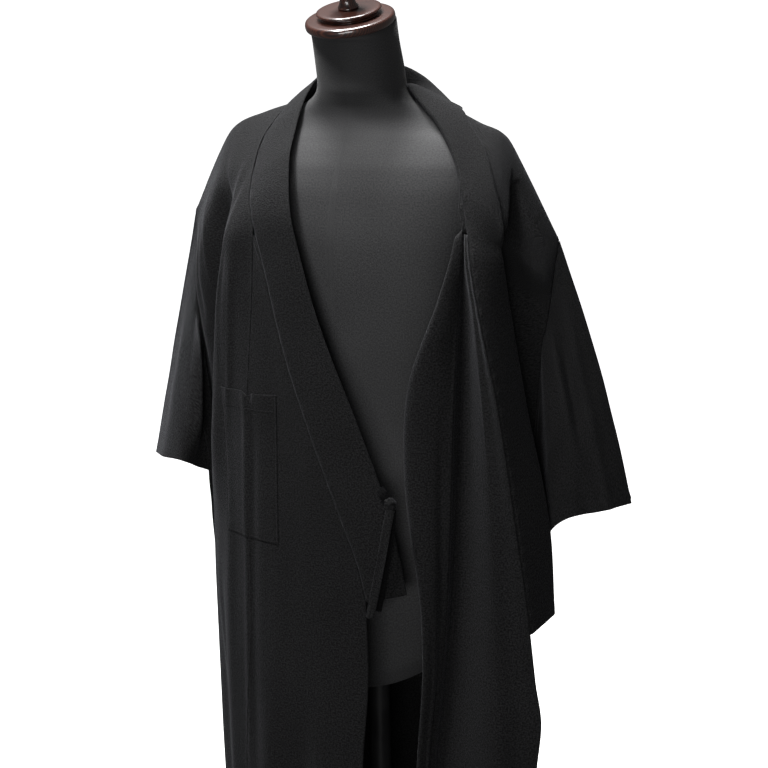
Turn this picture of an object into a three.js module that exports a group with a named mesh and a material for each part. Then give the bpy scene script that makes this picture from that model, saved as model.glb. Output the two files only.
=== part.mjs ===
import * as THREE from 'three';

// A man's unlined yukata, worn open on a limbless dress form that stands on a pole and a round base.
// The right front hangs as it is worn. The left front is flipped open: its front edge rolls back on
// itself, so its overlap panel and its collar band show their inner faces and lie over the sleeve.
// Millimetres, +Z up. The floor is z = 0 and the pole stands on x = 0, y = 0. The wearer faces -Y, so
// the wearer's left is +X.

// ---- Driving sizes ----
const CLOTH = 1.6;
const BAND_CLOTH = 2.6;
const SEAM_GAP = 0.3;
const SEAM_ANGLE = 0.12;
const HEM = 120;
const SHOULDER_LEVEL = 1485;
const ARMHOLE_BOTTOM = 915;
const COLLAR_END = 854;
const LEFT_COLLAR_END = 823;
const OVERLAP_TIP = 1333;
const BACK_NECK_DROP = 47;
const RIGHT = -1;
const LEFT = 1;

// The hanging garment seen from above at each height: half widths and depths from the pole's axis.
const WALL = [
  { z: 120, right: 228, left: 196, front: 160, back: 150 },
  { z: 400, right: 224, left: 194, front: 155, back: 145 },
  { z: 640, right: 229, left: 196, front: 153, back: 142 },
  { z: 820, right: 230, left: 202, front: 150, back: 135 },
  { z: 915, right: 229, left: 214, front: 148, back: 128 },
  { z: 960, right: 229, left: 222, front: 147, back: 125 },
  { z: 1100, right: 230, left: 236, front: 143, back: 118 },
  { z: 1250, right: 240, left: 244, front: 138, back: 122 },
  { z: 1330, right: 246, left: 250, front: 132, back: 124 },
  { z: 1485, right: 250, left: 254, front: 126, back: 120 },
];

// The top line of each shoulder, from the neck out to the sleeve seam.
const RIDGE_RIGHT = [
  { x: 0, z: 1492 },
  { x: 52, z: 1484 },
  { x: 92, z: 1464 },
  { x: 142, z: 1448 },
  { x: 187, z: 1429 },
  { x: 210, z: 1396 },
  { x: 250, z: 1318 },
];
const RIDGE_LEFT = [
  { x: 0, z: 1492 },
  { x: 60, z: 1482 },
  { x: 108, z: 1460 },
  { x: 153, z: 1438 },
  { x: 184, z: 1424 },
  { x: 202, z: 1396 },
  { x: 254, z: 1298 },
];
const RIDGE_Y = -6;
const RIDGE_REACH = 170;
const RIDGE_ROUNDNESS = 0.3;
const RIDGE_FADE = 1000;

// Angles are in degrees round the body from the front, positive towards the panel's own side.
const RIGHT_COLLAR_SEAM = [
  { level: 854, angle: -12.4 },
  { level: 900, angle: -9.7 },
  { level: 962, angle: -3.7 },
  { level: 1059, angle: 5.8 },
  { level: 1132, angle: 12.8 },
  { level: 1196, angle: 17.5 },
  { level: 1272, angle: 21.6 },
  { level: 1333, angle: 25.4 },
  { level: 1397, angle: 29.5 },
  { level: 1447, angle: 30.4 },
  { level: 1469, angle: 27.9 },
  { level: 1485, angle: 25.7 },
];
const RIGHT_OVERLAP_SEAM = [
  { level: 120, angle: 42 },
  { level: 591, angle: 38 },
  { level: 774, angle: 33 },
  { level: 929, angle: 32 },
  { level: 1084, angle: 31.6 },
  { level: 1234, angle: 27.1 },
  { level: 1333, angle: 25.4 },
];
const RIGHT_OVERLAP_EDGE = [
  { level: 120, angle: -6 },
  { level: 633, angle: -10.6 },
  { level: 751, angle: -12.8 },
  { level: 854, angle: -12.3 },
];
const LEFT_NECK_SEAM = [
  { level: 1403, angle: 37.4 },
  { level: 1433, angle: 33.7 },
  { level: 1461, angle: 25.7 },
  { level: 1473, angle: 18.7 },
  { level: 1485, angle: 12.6 },
];
const FRONT_ARMHOLE = [
  { level: 915, angle: 91.93 },
  { level: 945, angle: 85 },
  { level: 1000, angle: 80 },
  { level: 1200, angle: 79 },
  { level: 1400, angle: 80 },
  { level: 1455, angle: 83 },
  { level: 1475, angle: 87 },
  { level: 1485, angle: 90 },
];
const BACK_ARMHOLE = [
  { level: 915, angle: 92.07 },
  { level: 945, angle: 96 },
  { level: 1000, angle: 100 },
  { level: 1200, angle: 101 },
  { level: 1400, angle: 100 },
  { level: 1455, angle: 97 },
  { level: 1475, angle: 93 },
  { level: 1485, angle: 90 },
];

// The largest folds of the hanging cloth: a ridge is positive and a valley negative. A fold that is
// still deep at the hem ends below it, and the bow moves the middle of a fold sideways.
const FOLDS = [
  { side: RIGHT, from: 1430, to: 970, angleFrom: 44.5, angleTo: 74, width: 9, depth: -34 },
  { side: RIGHT, from: 1420, to: 900, angleFrom: 28, angleTo: 60, bow: 3.5, width: 7, depth: 9 },
  { side: RIGHT, from: 860, to: -300, angleFrom: 62, angleTo: 66, width: 8, depth: -11 },
  { side: RIGHT, from: 760, to: -300, angleFrom: 12, angleTo: 16, width: 7, depth: -9 },
  { side: RIGHT, from: 1300, to: -300, angleFrom: 112, angleTo: 116, width: 8, depth: -14 },
  { side: RIGHT, from: 1240, to: -300, angleFrom: 130, angleTo: 136, width: 9, depth: 13 },
  { side: RIGHT, from: 1160, to: -300, angleFrom: 152, angleTo: 156, width: 7, depth: -12 },
  { side: LEFT, from: 1495, to: 1180, angleFrom: 59.5, angleTo: 66, width: 5, depth: -26 },
  { side: LEFT, from: 1485, to: 1190, angleFrom: 65, angleTo: 72, width: 6.5, depth: -14 },
  { side: LEFT, from: 1478, to: 1220, angleFrom: 48, angleTo: 60, width: 4.5, depth: 9 },
  { side: LEFT, from: 1280, to: -300, angleFrom: 110, angleTo: 118, width: 9, depth: -15 },
  { side: LEFT, from: 1200, to: -300, angleFrom: 134, angleTo: 139, width: 8, depth: 12 },
  { side: LEFT, from: 1100, to: -300, angleFrom: 158, angleTo: 162, width: 7, depth: -11 },
];

// The flipped left front: the seam at the bottom of its deep valley, the roll of its flap, and the
// cloth behind the flap on its way back to the side.
const FLAP = [
  { z: 120, dipX: 100, dipY: -92, rollX: 74, rollY: -118, tuckX: 101, tuckY: -78, backX: 150, backY: -56 },
  { z: 630, dipX: 121, dipY: -92, rollX: 104, rollY: -118, tuckX: 121, tuckY: -80, backX: 160, backY: -60 },
  { z: 760, dipX: 135, dipY: -92, rollX: 114, rollY: -119, tuckX: 134, tuckY: -81, backX: 168, backY: -62 },
  { z: 860, dipX: 144, dipY: -92, rollX: 111, rollY: -119, tuckX: 141, tuckY: -82, backX: 172, backY: -64 },
  { z: 1000, dipX: 152, dipY: -92, rollX: 94, rollY: -119, tuckX: 148, tuckY: -83, backX: 179, backY: -65 },
  { z: 1125, dipX: 157, dipY: -93, rollX: 99, rollY: -118, tuckX: 152, tuckY: -84, backX: 186, backY: -64 },
  { z: 1235, dipX: 161, dipY: -95, rollX: 138, rollY: -114, tuckX: 162, tuckY: -84, backX: 192, backY: -60 },
  { z: 1300, dipX: 163, dipY: -95, rollX: 153, rollY: -100, tuckX: 167, tuckY: -84, backX: 194, backY: -56 },
  { z: 1362, dipX: 154, dipY: -78, rollX: 152, rollY: -79, tuckX: 164, tuckY: -73, backX: 192, backY: -54 },
];
const APEX_LEVEL = 1403;
const FLAP_SAG = 46;

// The left overlap panel: the soft ridge along its middle, and its outer edge.
const LEFT_OVERLAP = [
  { z: 120, ridgeX: 200, ridgeY: -122, edgeX: 240, edgeY: -104 },
  { z: 640, ridgeX: 213, ridgeY: -120, edgeX: 258, edgeY: -100 },
  { z: 707, ridgeX: 211, ridgeY: -119, edgeX: 264, edgeY: -100 },
  { z: 760, ridgeX: 209, ridgeY: -118, edgeX: 257, edgeY: -101 },
  { z: 842, ridgeX: 205, ridgeY: -117, edgeX: 250, edgeY: -107 },
  { z: 988, ridgeX: 199, ridgeY: -117, edgeX: 232, edgeY: -115 },
  { z: 1111, ridgeX: 190, ridgeY: -116, edgeX: 214, edgeY: -118 },
  { z: 1212, ridgeX: 182, ridgeY: -112, edgeX: 192, edgeY: -117 },
  { z: 1280, ridgeX: 170, ridgeY: -104, edgeX: 176, edgeY: -107 },
  { z: 1320, ridgeX: 165, ridgeY: -92, edgeX: 167, edgeY: -93 },
  { z: 1362, ridgeX: 155, ridgeY: -77, edgeX: 156, edgeY: -77 },
];

// The free edge of each collar band, against its seam's drop below the shoulder level. A positive
// drop is behind the shoulder, and a negative one in front of it.
const COLLAR_RIGHT = [
  { drop: -631, x: 100, y: -134, z: 866 },
  { drop: -585, x: 90, y: -138, z: 924 },
  { drop: -523, x: 74, y: -141, z: 990 },
  { drop: -426, x: 40, y: -143, z: 1083 },
  { drop: -353, x: 9, y: -143, z: 1158 },
  { drop: -289, x: -14, y: -140, z: 1216 },
  { drop: -213, x: -36, y: -135, z: 1286 },
  { drop: -152, x: -51, y: -127, z: 1338 },
  { drop: -88, x: -65, y: -97, z: 1397 },
  { drop: -38, x: -71, y: -64, z: 1434 },
  { drop: -16, x: -72, y: -38, z: 1464 },
  { drop: 0, x: -68, y: -12, z: 1488 },
  { drop: 12, x: -64, y: 14, z: 1499 },
  { drop: 30, x: -44, y: 44, z: 1506 },
  { drop: 40, x: -22, y: 53, z: 1508 },
  { drop: 47, x: -0.9, y: 54, z: 1508 },
];
const COLLAR_LEFT = [
  { drop: -662, x: 268, y: -60, z: 838 },
  { drop: -525, x: 260, y: -60, z: 960 },
  { drop: -385, x: 232, y: -62, z: 1100 },
  { drop: -250, x: 211, y: -68, z: 1232 },
  { drop: -180, x: 206, y: -73, z: 1280 },
  { drop: -130, x: 201, y: -71, z: 1304 },
  { drop: -82, x: 193, y: -62, z: 1358 },
  { drop: -52, x: 182, y: -50, z: 1386 },
  { drop: -24, x: 162, y: -26, z: 1412 },
  { drop: -12, x: 146, y: -10, z: 1428 },
  { drop: 0, x: 128, y: 8, z: 1444 },
  { drop: 12, x: 104, y: 30, z: 1461 },
  { drop: 30, x: 62, y: 49, z: 1486 },
  { drop: 40, x: 30, y: 55, z: 1502 },
  { drop: 47, x: 0.9, y: 54, z: 1508 },
];

// Where the left band lies on the shoulder, its free edge is on the body panel. Behind the shoulder
// the angle is from the centre back.
const COLLAR_LEFT_LYING = [
  { drop: -130, angle: 54, level: 1362 },
  { drop: -104, angle: 51.8, level: 1386 },
  { drop: -82, angle: 50.3, level: 1403 },
  { drop: -52, angle: 47.3, level: 1424 },
  { drop: -24, angle: 41.1, level: 1461 },
  { drop: -12, angle: 35, level: 1476 },
  { drop: 0, angle: 30, level: 1485 },
  { drop: 12, angle: 26, level: 1478 },
  { drop: 30, angle: 20, level: 1466 },
  { drop: 47, angle: 12, level: 1460 },
];

// The cuff of each sleeve, round from its top fold through the front, and how far out it hangs.
const CUFF_RIGHT = [
  { turn: 0, out: 338, y: 10, z: 975 },
  { turn: 0.08, out: 303, y: -30, z: 982 },
  { turn: 0.14, out: 264, y: -53, z: 986 },
  { turn: 0.2, out: 250, y: -36, z: 975 },
  { turn: 0.26, out: 239, y: -2, z: 952 },
  { turn: 0.36, out: 238, y: 22, z: 870 },
  { turn: 0.5, out: 244, y: 40, z: 770 },
  { turn: 0.62, out: 258, y: 64, z: 800 },
  { turn: 0.72, out: 276, y: 84, z: 885 },
  { turn: 0.8, out: 296, y: 88, z: 932 },
  { turn: 0.9, out: 322, y: 58, z: 962 },
  { turn: 1, out: 338, y: 10, z: 975 },
];
const CUFF_LEFT = [
  { turn: 0, out: 344, y: 10, z: 970 },
  { turn: 0.08, out: 314, y: -26, z: 966 },
  { turn: 0.14, out: 282, y: -50, z: 961 },
  { turn: 0.2, out: 262, y: -56, z: 945 },
  { turn: 0.26, out: 247, y: -34, z: 915 },
  { turn: 0.36, out: 226, y: -6, z: 860 },
  { turn: 0.5, out: 212, y: 8, z: 800 },
  { turn: 0.62, out: 220, y: 42, z: 865 },
  { turn: 0.72, out: 240, y: 72, z: 925 },
  { turn: 0.8, out: 274, y: 88, z: 940 },
  { turn: 0.9, out: 318, y: 58, z: 958 },
  { turn: 1, out: 344, y: 10, z: 970 },
];

const POCKET = { top: 1110, bottom: 915, inner: 18.5, outer: 46 };

const TIE = { width: 11, thick: 1.6, knotWidth: 15, knotHeight: 16, knotDepth: 8 };
const TIE_PATH = [
  { name: 'tie_bar', fromX: 71, fromY: -144.5, fromZ: 1002, toX: 81.3, toY: -147.4, toZ: 990.8, turn: 48 },
  { name: 'tie_tail_front', fromX: 86, fromY: -149.4, fromZ: 976.4, toX: 57, toY: -152, toZ: 836, turn: 0 },
  { name: 'tie_tail_back', fromX: 88, fromY: -146.4, fromZ: 976.4, toX: 65, toY: -149, toZ: 846, turn: 8 },
];
const KNOT = { x: 87, y: -148, z: 985 };

// The form's body from above at each height, and the forward lean of its neck.
const TORSO = [
  { z: 716, half: 152, front: 96, back: 94, power: 2.4 },
  { z: 760, half: 160, front: 99, back: 100, power: 2.4 },
  { z: 830, half: 163, front: 100, back: 104, power: 2.4 },
  { z: 950, half: 152, front: 95, back: 92, power: 2.4 },
  { z: 1060, half: 147, front: 97, back: 84, power: 2.4 },
  { z: 1180, half: 160, front: 107, back: 90, power: 2.4 },
  { z: 1290, half: 174, front: 112, back: 94, power: 2.4 },
  { z: 1350, half: 181, front: 102, back: 86, power: 2.3 },
  { z: 1385, half: 179, front: 90, back: 74, power: 2.1 },
  { z: 1405, half: 174, front: 79, back: 62, power: 1.9 },
  { z: 1420, half: 161, front: 69, back: 52, power: 1.8 },
  { z: 1434, half: 135, front: 61, back: 44, power: 1.7 },
  { z: 1447, half: 109, front: 57, back: 37, power: 1.7 },
  { z: 1458, half: 86, front: 58, back: 32, power: 1.8 },
  { z: 1469, half: 67, front: 63, back: 31, power: 1.9 },
  { z: 1480, half: 58, front: 68, back: 32, power: 2 },
  { z: 1492, half: 56.5, front: 70, back: 30, power: 2 },
  { z: 1508, half: 56, front: 74, back: 26, power: 2 },
  { z: 1532, half: 55, front: 81, back: 17, power: 2 },
  { z: 1562, half: 54, front: 90, back: 6, power: 2 },
];
const TORSO_BOTTOM = 716;
const LEG_ARCH = 0.003;
const NECK = { x: 0, y: -48, z: 1558, lean: 17 };
const CAP = { radius: 55, thick: 12, tierRadius: 40, tierThick: 9 };
const POLE = { radius: 14, foot: 46 };
const BASE = { radius: 160, thick: 18 };

// ---- Colours ----
const cloth = new THREE.MeshStandardMaterial({ color: 0x1d1d1f, roughness: 0.9, metalness: 0 });
const cover = new THREE.MeshStandardMaterial({ color: 0x29292b, roughness: 0.85, metalness: 0 });
const wood = new THREE.MeshStandardMaterial({ color: 0x3a1c14, roughness: 0.25, metalness: 0 });
const metal = new THREE.MeshStandardMaterial({ color: 0x202022, roughness: 0.4, metalness: 0.8 });

const { clamp, degToRad, lerp, smoothstep } = THREE.MathUtils;

// ---- Tables as smooth lines ----

// A column of a table as a smooth function of another column, held past both of its ends.
function column(rows, along, name) {
  const at = rows.map((row) => row[along]);
  const value = rows.map((row) => row[name]);
  const last = rows.length - 1;
  const slope = value.map((_, i) => {
    const before = Math.max(i - 1, 0);
    const after = Math.min(i + 1, last);
    return (value[after] - value[before]) / (at[after] - at[before]);
  });
  return (where) => {
    const x = clamp(where, at[0], at[last]);
    let i = 0;
    while (i < last - 1 && x > at[i + 1]) i += 1;
    const span = at[i + 1] - at[i];
    const t = (x - at[i]) / span;
    const rise = t * t * (3 - 2 * t);
    const leave = t * (1 - t) * (1 - t) * span * slope[i];
    const arrive = t * t * (1 - t) * span * slope[i + 1];
    return lerp(value[i], value[i + 1], rise) + leave - arrive;
  };
}

// Every named column of a table at once, as a function of its first one.
function lines(rows, along) {
  const names = Object.keys(rows[0]).filter((name) => name !== along);
  const made = Object.fromEntries(names.map((name) => [name, column(rows, along, name)]));
  return (where) => Object.fromEntries(names.map((name) => [name, made[name](where)]));
}

const wallAt = lines(WALL, 'z');
const ridgeRight = column(RIDGE_RIGHT, 'x', 'z');
const ridgeLeft = column(RIDGE_LEFT, 'x', 'z');
const rightCollarSeam = column(RIGHT_COLLAR_SEAM, 'level', 'angle');
const rightOverlapSeam = column(RIGHT_OVERLAP_SEAM, 'level', 'angle');
const rightOverlapEdge = column(RIGHT_OVERLAP_EDGE, 'level', 'angle');
const leftNeckSeam = column(LEFT_NECK_SEAM, 'level', 'angle');
const frontArmhole = column(FRONT_ARMHOLE, 'level', 'angle');
const backArmhole = column(BACK_ARMHOLE, 'level', 'angle');
const cuffRight = lines(CUFF_RIGHT, 'turn');
const cuffLeft = lines(CUFF_LEFT, 'turn');
const flapAt = lines(FLAP, 'z');
const leftOverlapAt = lines(LEFT_OVERLAP, 'z');
const torsoAt = lines(TORSO, 'z');

// ---- The draped surface ----

// How far the folds of one side push the cloth out at this place.
function foldDepth(side, angle, level) {
  let depth = 0;
  for (const fold of FOLDS) {
    if (fold.side !== side || level > fold.from || level < fold.to) continue;
    const along = (fold.from - level) / (fold.from - fold.to);
    const bow = (fold.bow ?? 0) * 4 * along * (1 - along);
    const centre = lerp(fold.angleFrom, fold.angleTo, along) + bow;
    const fade = smoothstep(along, 0, 0.2) * (1 - smoothstep(along, 0.7, 1));
    depth += fold.depth * fade * Math.exp(-(((angle - centre) / fold.width) ** 2));
  }
  return depth;
}

// A point of the hanging cloth. The level is the height, except near the shoulders, where the cloth
// follows their slope: the shoulder level itself is the top line of the shoulder.
function drape(side, angle, level) {
  const wall = wallAt(level);
  const turn = degToRad(angle);
  const out = foldDepth(side, angle, level);
  const width = (side === RIGHT ? wall.right : wall.left) + out;
  const depth = (Math.cos(turn) > 0 ? wall.front : wall.back) + out;
  const x = width * Math.sin(turn);
  const ridge = (side === RIGHT ? ridgeRight : ridgeLeft)(Math.abs(x));
  const z = level - (SHOULDER_LEVEL - ridge) * smoothstep(level, RIDGE_FADE, SHOULDER_LEVEL);
  const reach = clamp((SHOULDER_LEVEL - level) / RIDGE_REACH, 0, 1);
  const straight = Math.sin((Math.PI / 2) * reach);
  const round = Math.sqrt(1 - (1 - reach) ** 2);
  const y = lerp(RIDGE_Y, -depth * Math.cos(turn), lerp(straight, round, RIDGE_ROUNDNESS));
  return new THREE.Vector3(side * x, y, z);
}

// ---- Cloth walls from a grid of points ----

// A grid of points as a closed wall of this thickness. point(u, v) is the middle of the wall, and
// shift moves the wall along its normal. A ring closes on itself along u.
function clothWall(name, material, point, us, vs, thick, { shift = 0, ring = false } = {}) {
  const wide = us.length;
  const tall = vs.length;
  const grid = us.map((u) => vs.map((v) => point(u, v)));
  const next = (i) => (ring ? (i + 1) % wide : Math.min(i + 1, wide - 1));
  const previous = (i) => (ring ? (i + wide - 1) % wide : Math.max(i - 1, 0));
  const positions = [];
  for (const half of [thick / 2 + shift, -thick / 2 + shift]) {
    for (let i = 0; i < wide; i += 1) {
      for (let j = 0; j < tall; j += 1) {
        const across = grid[next(i)][j].clone().sub(grid[previous(i)][j]);
        const along = grid[i][Math.min(j + 1, tall - 1)].clone().sub(grid[i][Math.max(j - 1, 0)]);
        const normal = across.cross(along).normalize();
        positions.push(...grid[i][j].clone().addScaledVector(normal, half));
      }
    }
  }
  const at = (layer, i, j) => (layer * wide + i) * tall + j;
  const index = [];
  const quad = (a, b, c, d) => index.push(a, b, c, a, c, d);
  const spans = ring ? wide : wide - 1;
  for (let i = 0; i < spans; i += 1) {
    const k = next(i);
    for (let j = 0; j < tall - 1; j += 1) {
      quad(at(0, i, j), at(0, k, j), at(0, k, j + 1), at(0, i, j + 1));
      quad(at(1, i, j), at(1, i, j + 1), at(1, k, j + 1), at(1, k, j));
    }
    quad(at(0, i, 0), at(1, i, 0), at(1, k, 0), at(0, k, 0));
    quad(at(0, i, tall - 1), at(0, k, tall - 1), at(1, k, tall - 1), at(1, i, tall - 1));
  }
  if (!ring) {
    for (let j = 0; j < tall - 1; j += 1) {
      quad(at(0, 0, j), at(0, 0, j + 1), at(1, 0, j + 1), at(1, 0, j));
      quad(at(0, wide - 1, j), at(1, wide - 1, j), at(1, wide - 1, j + 1), at(0, wide - 1, j + 1));
    }
  }
  return meshOf(name, material, positions, index);
}

function meshOf(name, material, positions, index) {
  const geometry = new THREE.BufferGeometry();
  geometry.setAttribute('position', new THREE.Float32BufferAttribute(positions, 3));
  geometry.setIndex(index);
  geometry.computeVertexNormals();
  const mesh = new THREE.Mesh(geometry, material);
  mesh.name = name;
  return mesh;
}

function evenly(count, from = 0, to = 1) {
  return Array.from({ length: count + 1 }, (_, i) => lerp(from, to, i / count));
}

// ---- Body panels: each one cloth from its front hem over the shoulder to its back hem ----

// Levels below the shoulder, close together where the cloth turns over it.
const DROPS = [0, 3, 9, 19, 33, 40, 47, 60, 82, 110, 135, 162, 195, 245, 300, 355, 415, 480, 540, 570,
  600, 631, 690, 760, 840, 920, 1000, 1090, 1180, 1270, SHOULDER_LEVEL - HEM];
const BODY_ROWS = [...DROPS.slice(1).reverse().map((drop) => -drop), ...DROPS];
const BODY_COLUMNS = evenly(13);

function neckAngle(side) {
  return side === RIGHT ? rightCollarSeam(SHOULDER_LEVEL) : leftNeckSeam(SHOULDER_LEVEL);
}

// The inner edge behind the shoulder: round the back of the neck to the centre, then down its seam.
function backInnerEdge(side, drop) {
  if (drop >= BACK_NECK_DROP) return { angle: 180 - SEAM_ANGLE, level: SHOULDER_LEVEL - drop };
  const turn = (Math.PI / 2) * (drop / BACK_NECK_DROP);
  const reach = Math.sin(degToRad(neckAngle(side))) * Math.cos(turn);
  const angle = 180 - SEAM_ANGLE - THREE.MathUtils.radToDeg(Math.asin(reach));
  return { angle, level: SHOULDER_LEVEL - BACK_NECK_DROP * Math.sin(turn) };
}

function frontInnerEdge(side, level) {
  if (side === LEFT) return leftNeckSeam(level);
  return level > OVERLAP_TIP ? rightCollarSeam(level) : rightOverlapSeam(level);
}

function backPoint(side, u, drop) {
  const inner = backInnerEdge(side, drop);
  const level = SHOULDER_LEVEL - drop;
  const outer = backArmhole(level);
  return drape(side, lerp(inner.angle, outer, u), lerp(inner.level, level, u));
}

// The front of a panel, where it hangs as one surface.
function frontPoint(side, u, drop) {
  const level = SHOULDER_LEVEL - drop;
  return drape(side, lerp(frontInnerEdge(side, level), frontArmhole(level), u), level);
}

function flapHeight(level) {
  return level - FLAP_SAG * smoothstep(level, RIDGE_FADE, SHOULDER_LEVEL);
}

// The flipped left front below its apex: from the seam in the valley, over the flap, round its roll,
// and back behind it along the form to the side.
function flapPoint(u, drop) {
  const level = SHOULDER_LEVEL - drop;
  const z = flapHeight(level);
  const { dipX, dipY, rollX, rollY, tuckX, tuckY, backX, backY } = flapAt(z);
  const side = drape(LEFT, frontArmhole(level), level);
  const open = smoothstep(dipX - rollX, 0, 40);
  const section = new THREE.CatmullRomCurve3([
    new THREE.Vector3(dipX, dipY, z),
    new THREE.Vector3(lerp(dipX, rollX, 0.1), lerp(dipY, rollY, 0.3) - 6 * open, z),
    new THREE.Vector3(lerp(dipX, rollX, 0.5), lerp(dipY, rollY, 0.6) - 14 * open, z),
    new THREE.Vector3(lerp(dipX, rollX, 0.85), lerp(dipY, rollY, 0.9) - 10 * open, z),
    new THREE.Vector3(rollX, rollY, z),
    new THREE.Vector3(lerp(rollX, tuckX, 0.15), lerp(rollY, tuckY, 0.35), z),
    new THREE.Vector3(tuckX, tuckY, z),
    new THREE.Vector3(backX, backY, lerp(z, side.z, 0.5)),
    side,
  ]);
  return section.getPoint(u);
}

function bodyPoint(side, u, signedDrop) {
  const drop = Math.abs(signedDrop);
  if (signedDrop >= 0) return backPoint(side, u, drop);
  const hanging = frontPoint(side, u, drop);
  if (side === RIGHT) return hanging;
  const flipped = 1 - smoothstep(SHOULDER_LEVEL - drop, APEX_LEVEL - 60, APEX_LEVEL + 8);
  return hanging.lerp(flapPoint(u, Math.max(drop, SHOULDER_LEVEL - APEX_LEVEL)), flipped);
}

function bodyPanel(name, side) {
  const columns = side === RIGHT ? BODY_COLUMNS : evenly(16);
  const point = (u, drop) => bodyPoint(side, u, drop);
  return clothWall(name, cloth, point, columns, BODY_ROWS, CLOTH);
}

// ---- Overlap panels ----

function overlapRight(u, level) {
  const seam = rightOverlapSeam(level) - SEAM_ANGLE;
  const edge = level >= COLLAR_END ? rightCollarSeam(level) + SEAM_ANGLE : rightOverlapEdge(level);
  return drape(RIGHT, lerp(seam, edge, u), level);
}

function overlapLeft(u, z) {
  const { dipX, dipY } = flapAt(z);
  const { ridgeX, ridgeY, edgeX, edgeY } = leftOverlapAt(z);
  const start = dipX + CLOTH + SEAM_GAP;
  const dent = Math.min(3, 0.25 * (edgeX - ridgeX));
  const section = new THREE.CatmullRomCurve3([
    new THREE.Vector3(start, dipY, z),
    new THREE.Vector3(lerp(start, ridgeX, 0.3), lerp(dipY, ridgeY, 0.12), z),
    new THREE.Vector3(ridgeX, ridgeY, z),
    new THREE.Vector3(lerp(ridgeX, edgeX, 0.55), lerp(ridgeY, edgeY, 0.5) + dent, z),
    new THREE.Vector3(edgeX, edgeY, z),
  ]);
  return section.getPoint(u);
}

// ---- Collar bands ----

const collarRightFree = lines(COLLAR_RIGHT, 'drop');
const collarLeftFree = lines(COLLAR_LEFT, 'drop');
const collarLeftLying = lines(COLLAR_LEFT_LYING, 'drop');

function collarSeamRight(drop) {
  if (drop >= 0) return backPoint(RIGHT, 0, drop);
  const level = SHOULDER_LEVEL + drop;
  return drape(RIGHT, rightCollarSeam(level), level);
}

function collarSeamLeft(drop) {
  if (drop >= 0) return backPoint(LEFT, 0, drop);
  const level = SHOULDER_LEVEL + drop;
  if (level > APEX_LEVEL) return drape(LEFT, leftNeckSeam(level), level);
  const z = flapHeight(level);
  const { edgeX, edgeY } = leftOverlapAt(z);
  return new THREE.Vector3(edgeX, edgeY, z);
}

// A band across from its seam to its free edge, starting past the seam by the inset, with a soft
// crown between them along the normal.
function collarPoint(seam, free, u, inset, normal, crown) {
  const start = inset / seam.distanceTo(free);
  return seam.clone().lerp(free, lerp(start, 1, u)).addScaledVector(normal, crown * 4 * u * (1 - u));
}

const COLLAR_COLUMNS = evenly(4);
const COLLAR_ROWS = [...DROPS.filter((drop) => drop > 0 && drop <= 631).reverse().map((drop) => -drop),
  ...DROPS.filter((drop) => drop <= BACK_NECK_DROP)];

function collarRight() {
  const point = (u, drop) => {
    const { x, y, z } = collarRightFree(drop);
    const free = new THREE.Vector3(x, y, z);
    const inset = lerp(SEAM_GAP, 1.2, smoothstep(drop, -90, -40));
    return collarPoint(collarSeamRight(drop), free, u, inset, new THREE.Vector3(0, -1, 0), 3);
  };
  return clothWall('collar_right', cloth, point, COLLAR_COLUMNS, COLLAR_ROWS, BAND_CLOTH);
}

function collarLeft() {
  const lift = CLOTH / 2 + BAND_CLOTH / 2 + SEAM_GAP;
  const point = (u, drop) => {
    const { x, y, z } = collarLeftFree(drop);
    const upward = smoothstep(drop, -60, 0);
    const normal = new THREE.Vector3(0, upward - 1, upward).normalize();
    const onShoulder = smoothstep(drop, -60, -9) * (1 - smoothstep(drop, 15, 40));
    const inset = lerp(CLOTH + 3 * SEAM_GAP, 1, smoothstep(drop, -150, -110));
    const free = new THREE.Vector3(x, y, z);
    const hanging = collarPoint(collarSeamLeft(drop), free, u, inset, normal, 4 + 9 * onShoulder);
    hanging.addScaledVector(normal, lift * onShoulder);
    const share = smoothstep(drop, -150, -84) * (1 - smoothstep(drop, 3, 33));
    return hanging.lerp(lyingPoint(drop, u, lift + 2 * u + 0.9), share);
  };
  const rows = [LEFT_COLLAR_END - SHOULDER_LEVEL, ...COLLAR_ROWS];
  return clothWall('collar_left', cloth, point, COLLAR_COLUMNS, rows, BAND_CLOTH);
}

// A point of the left band where it lies on the shoulder.
function lyingPoint(drop, u, lift) {
  const free = collarLeftLying(drop);
  if (drop > 0) {
    const inner = backInnerEdge(LEFT, drop);
    return liftedDrape(LEFT, lerp(inner.angle, 180 - free.angle, u), lerp(inner.level, free.level, u), lift);
  }
  const level = Math.max(SHOULDER_LEVEL + drop, APEX_LEVEL);
  return liftedDrape(LEFT, lerp(leftNeckSeam(level), free.angle, u), lerp(level, free.level, u), lift);
}

// A point above the hanging cloth, at this distance along its normal.
function liftedDrape(side, angle, level, distance) {
  const here = drape(side, angle, level);
  const round = drape(side, angle + 1, level).sub(drape(side, angle - 1, level));
  const up = drape(side, angle, level + 2).sub(drape(side, angle, level - 2));
  const normal = round.cross(up).multiplyScalar(side).normalize();
  return here.addScaledVector(normal, distance);
}

// ---- Sleeves ----

const ARMHOLE_DROPS = DROPS.filter((drop) => drop <= SHOULDER_LEVEL - ARMHOLE_BOTTOM);

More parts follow.
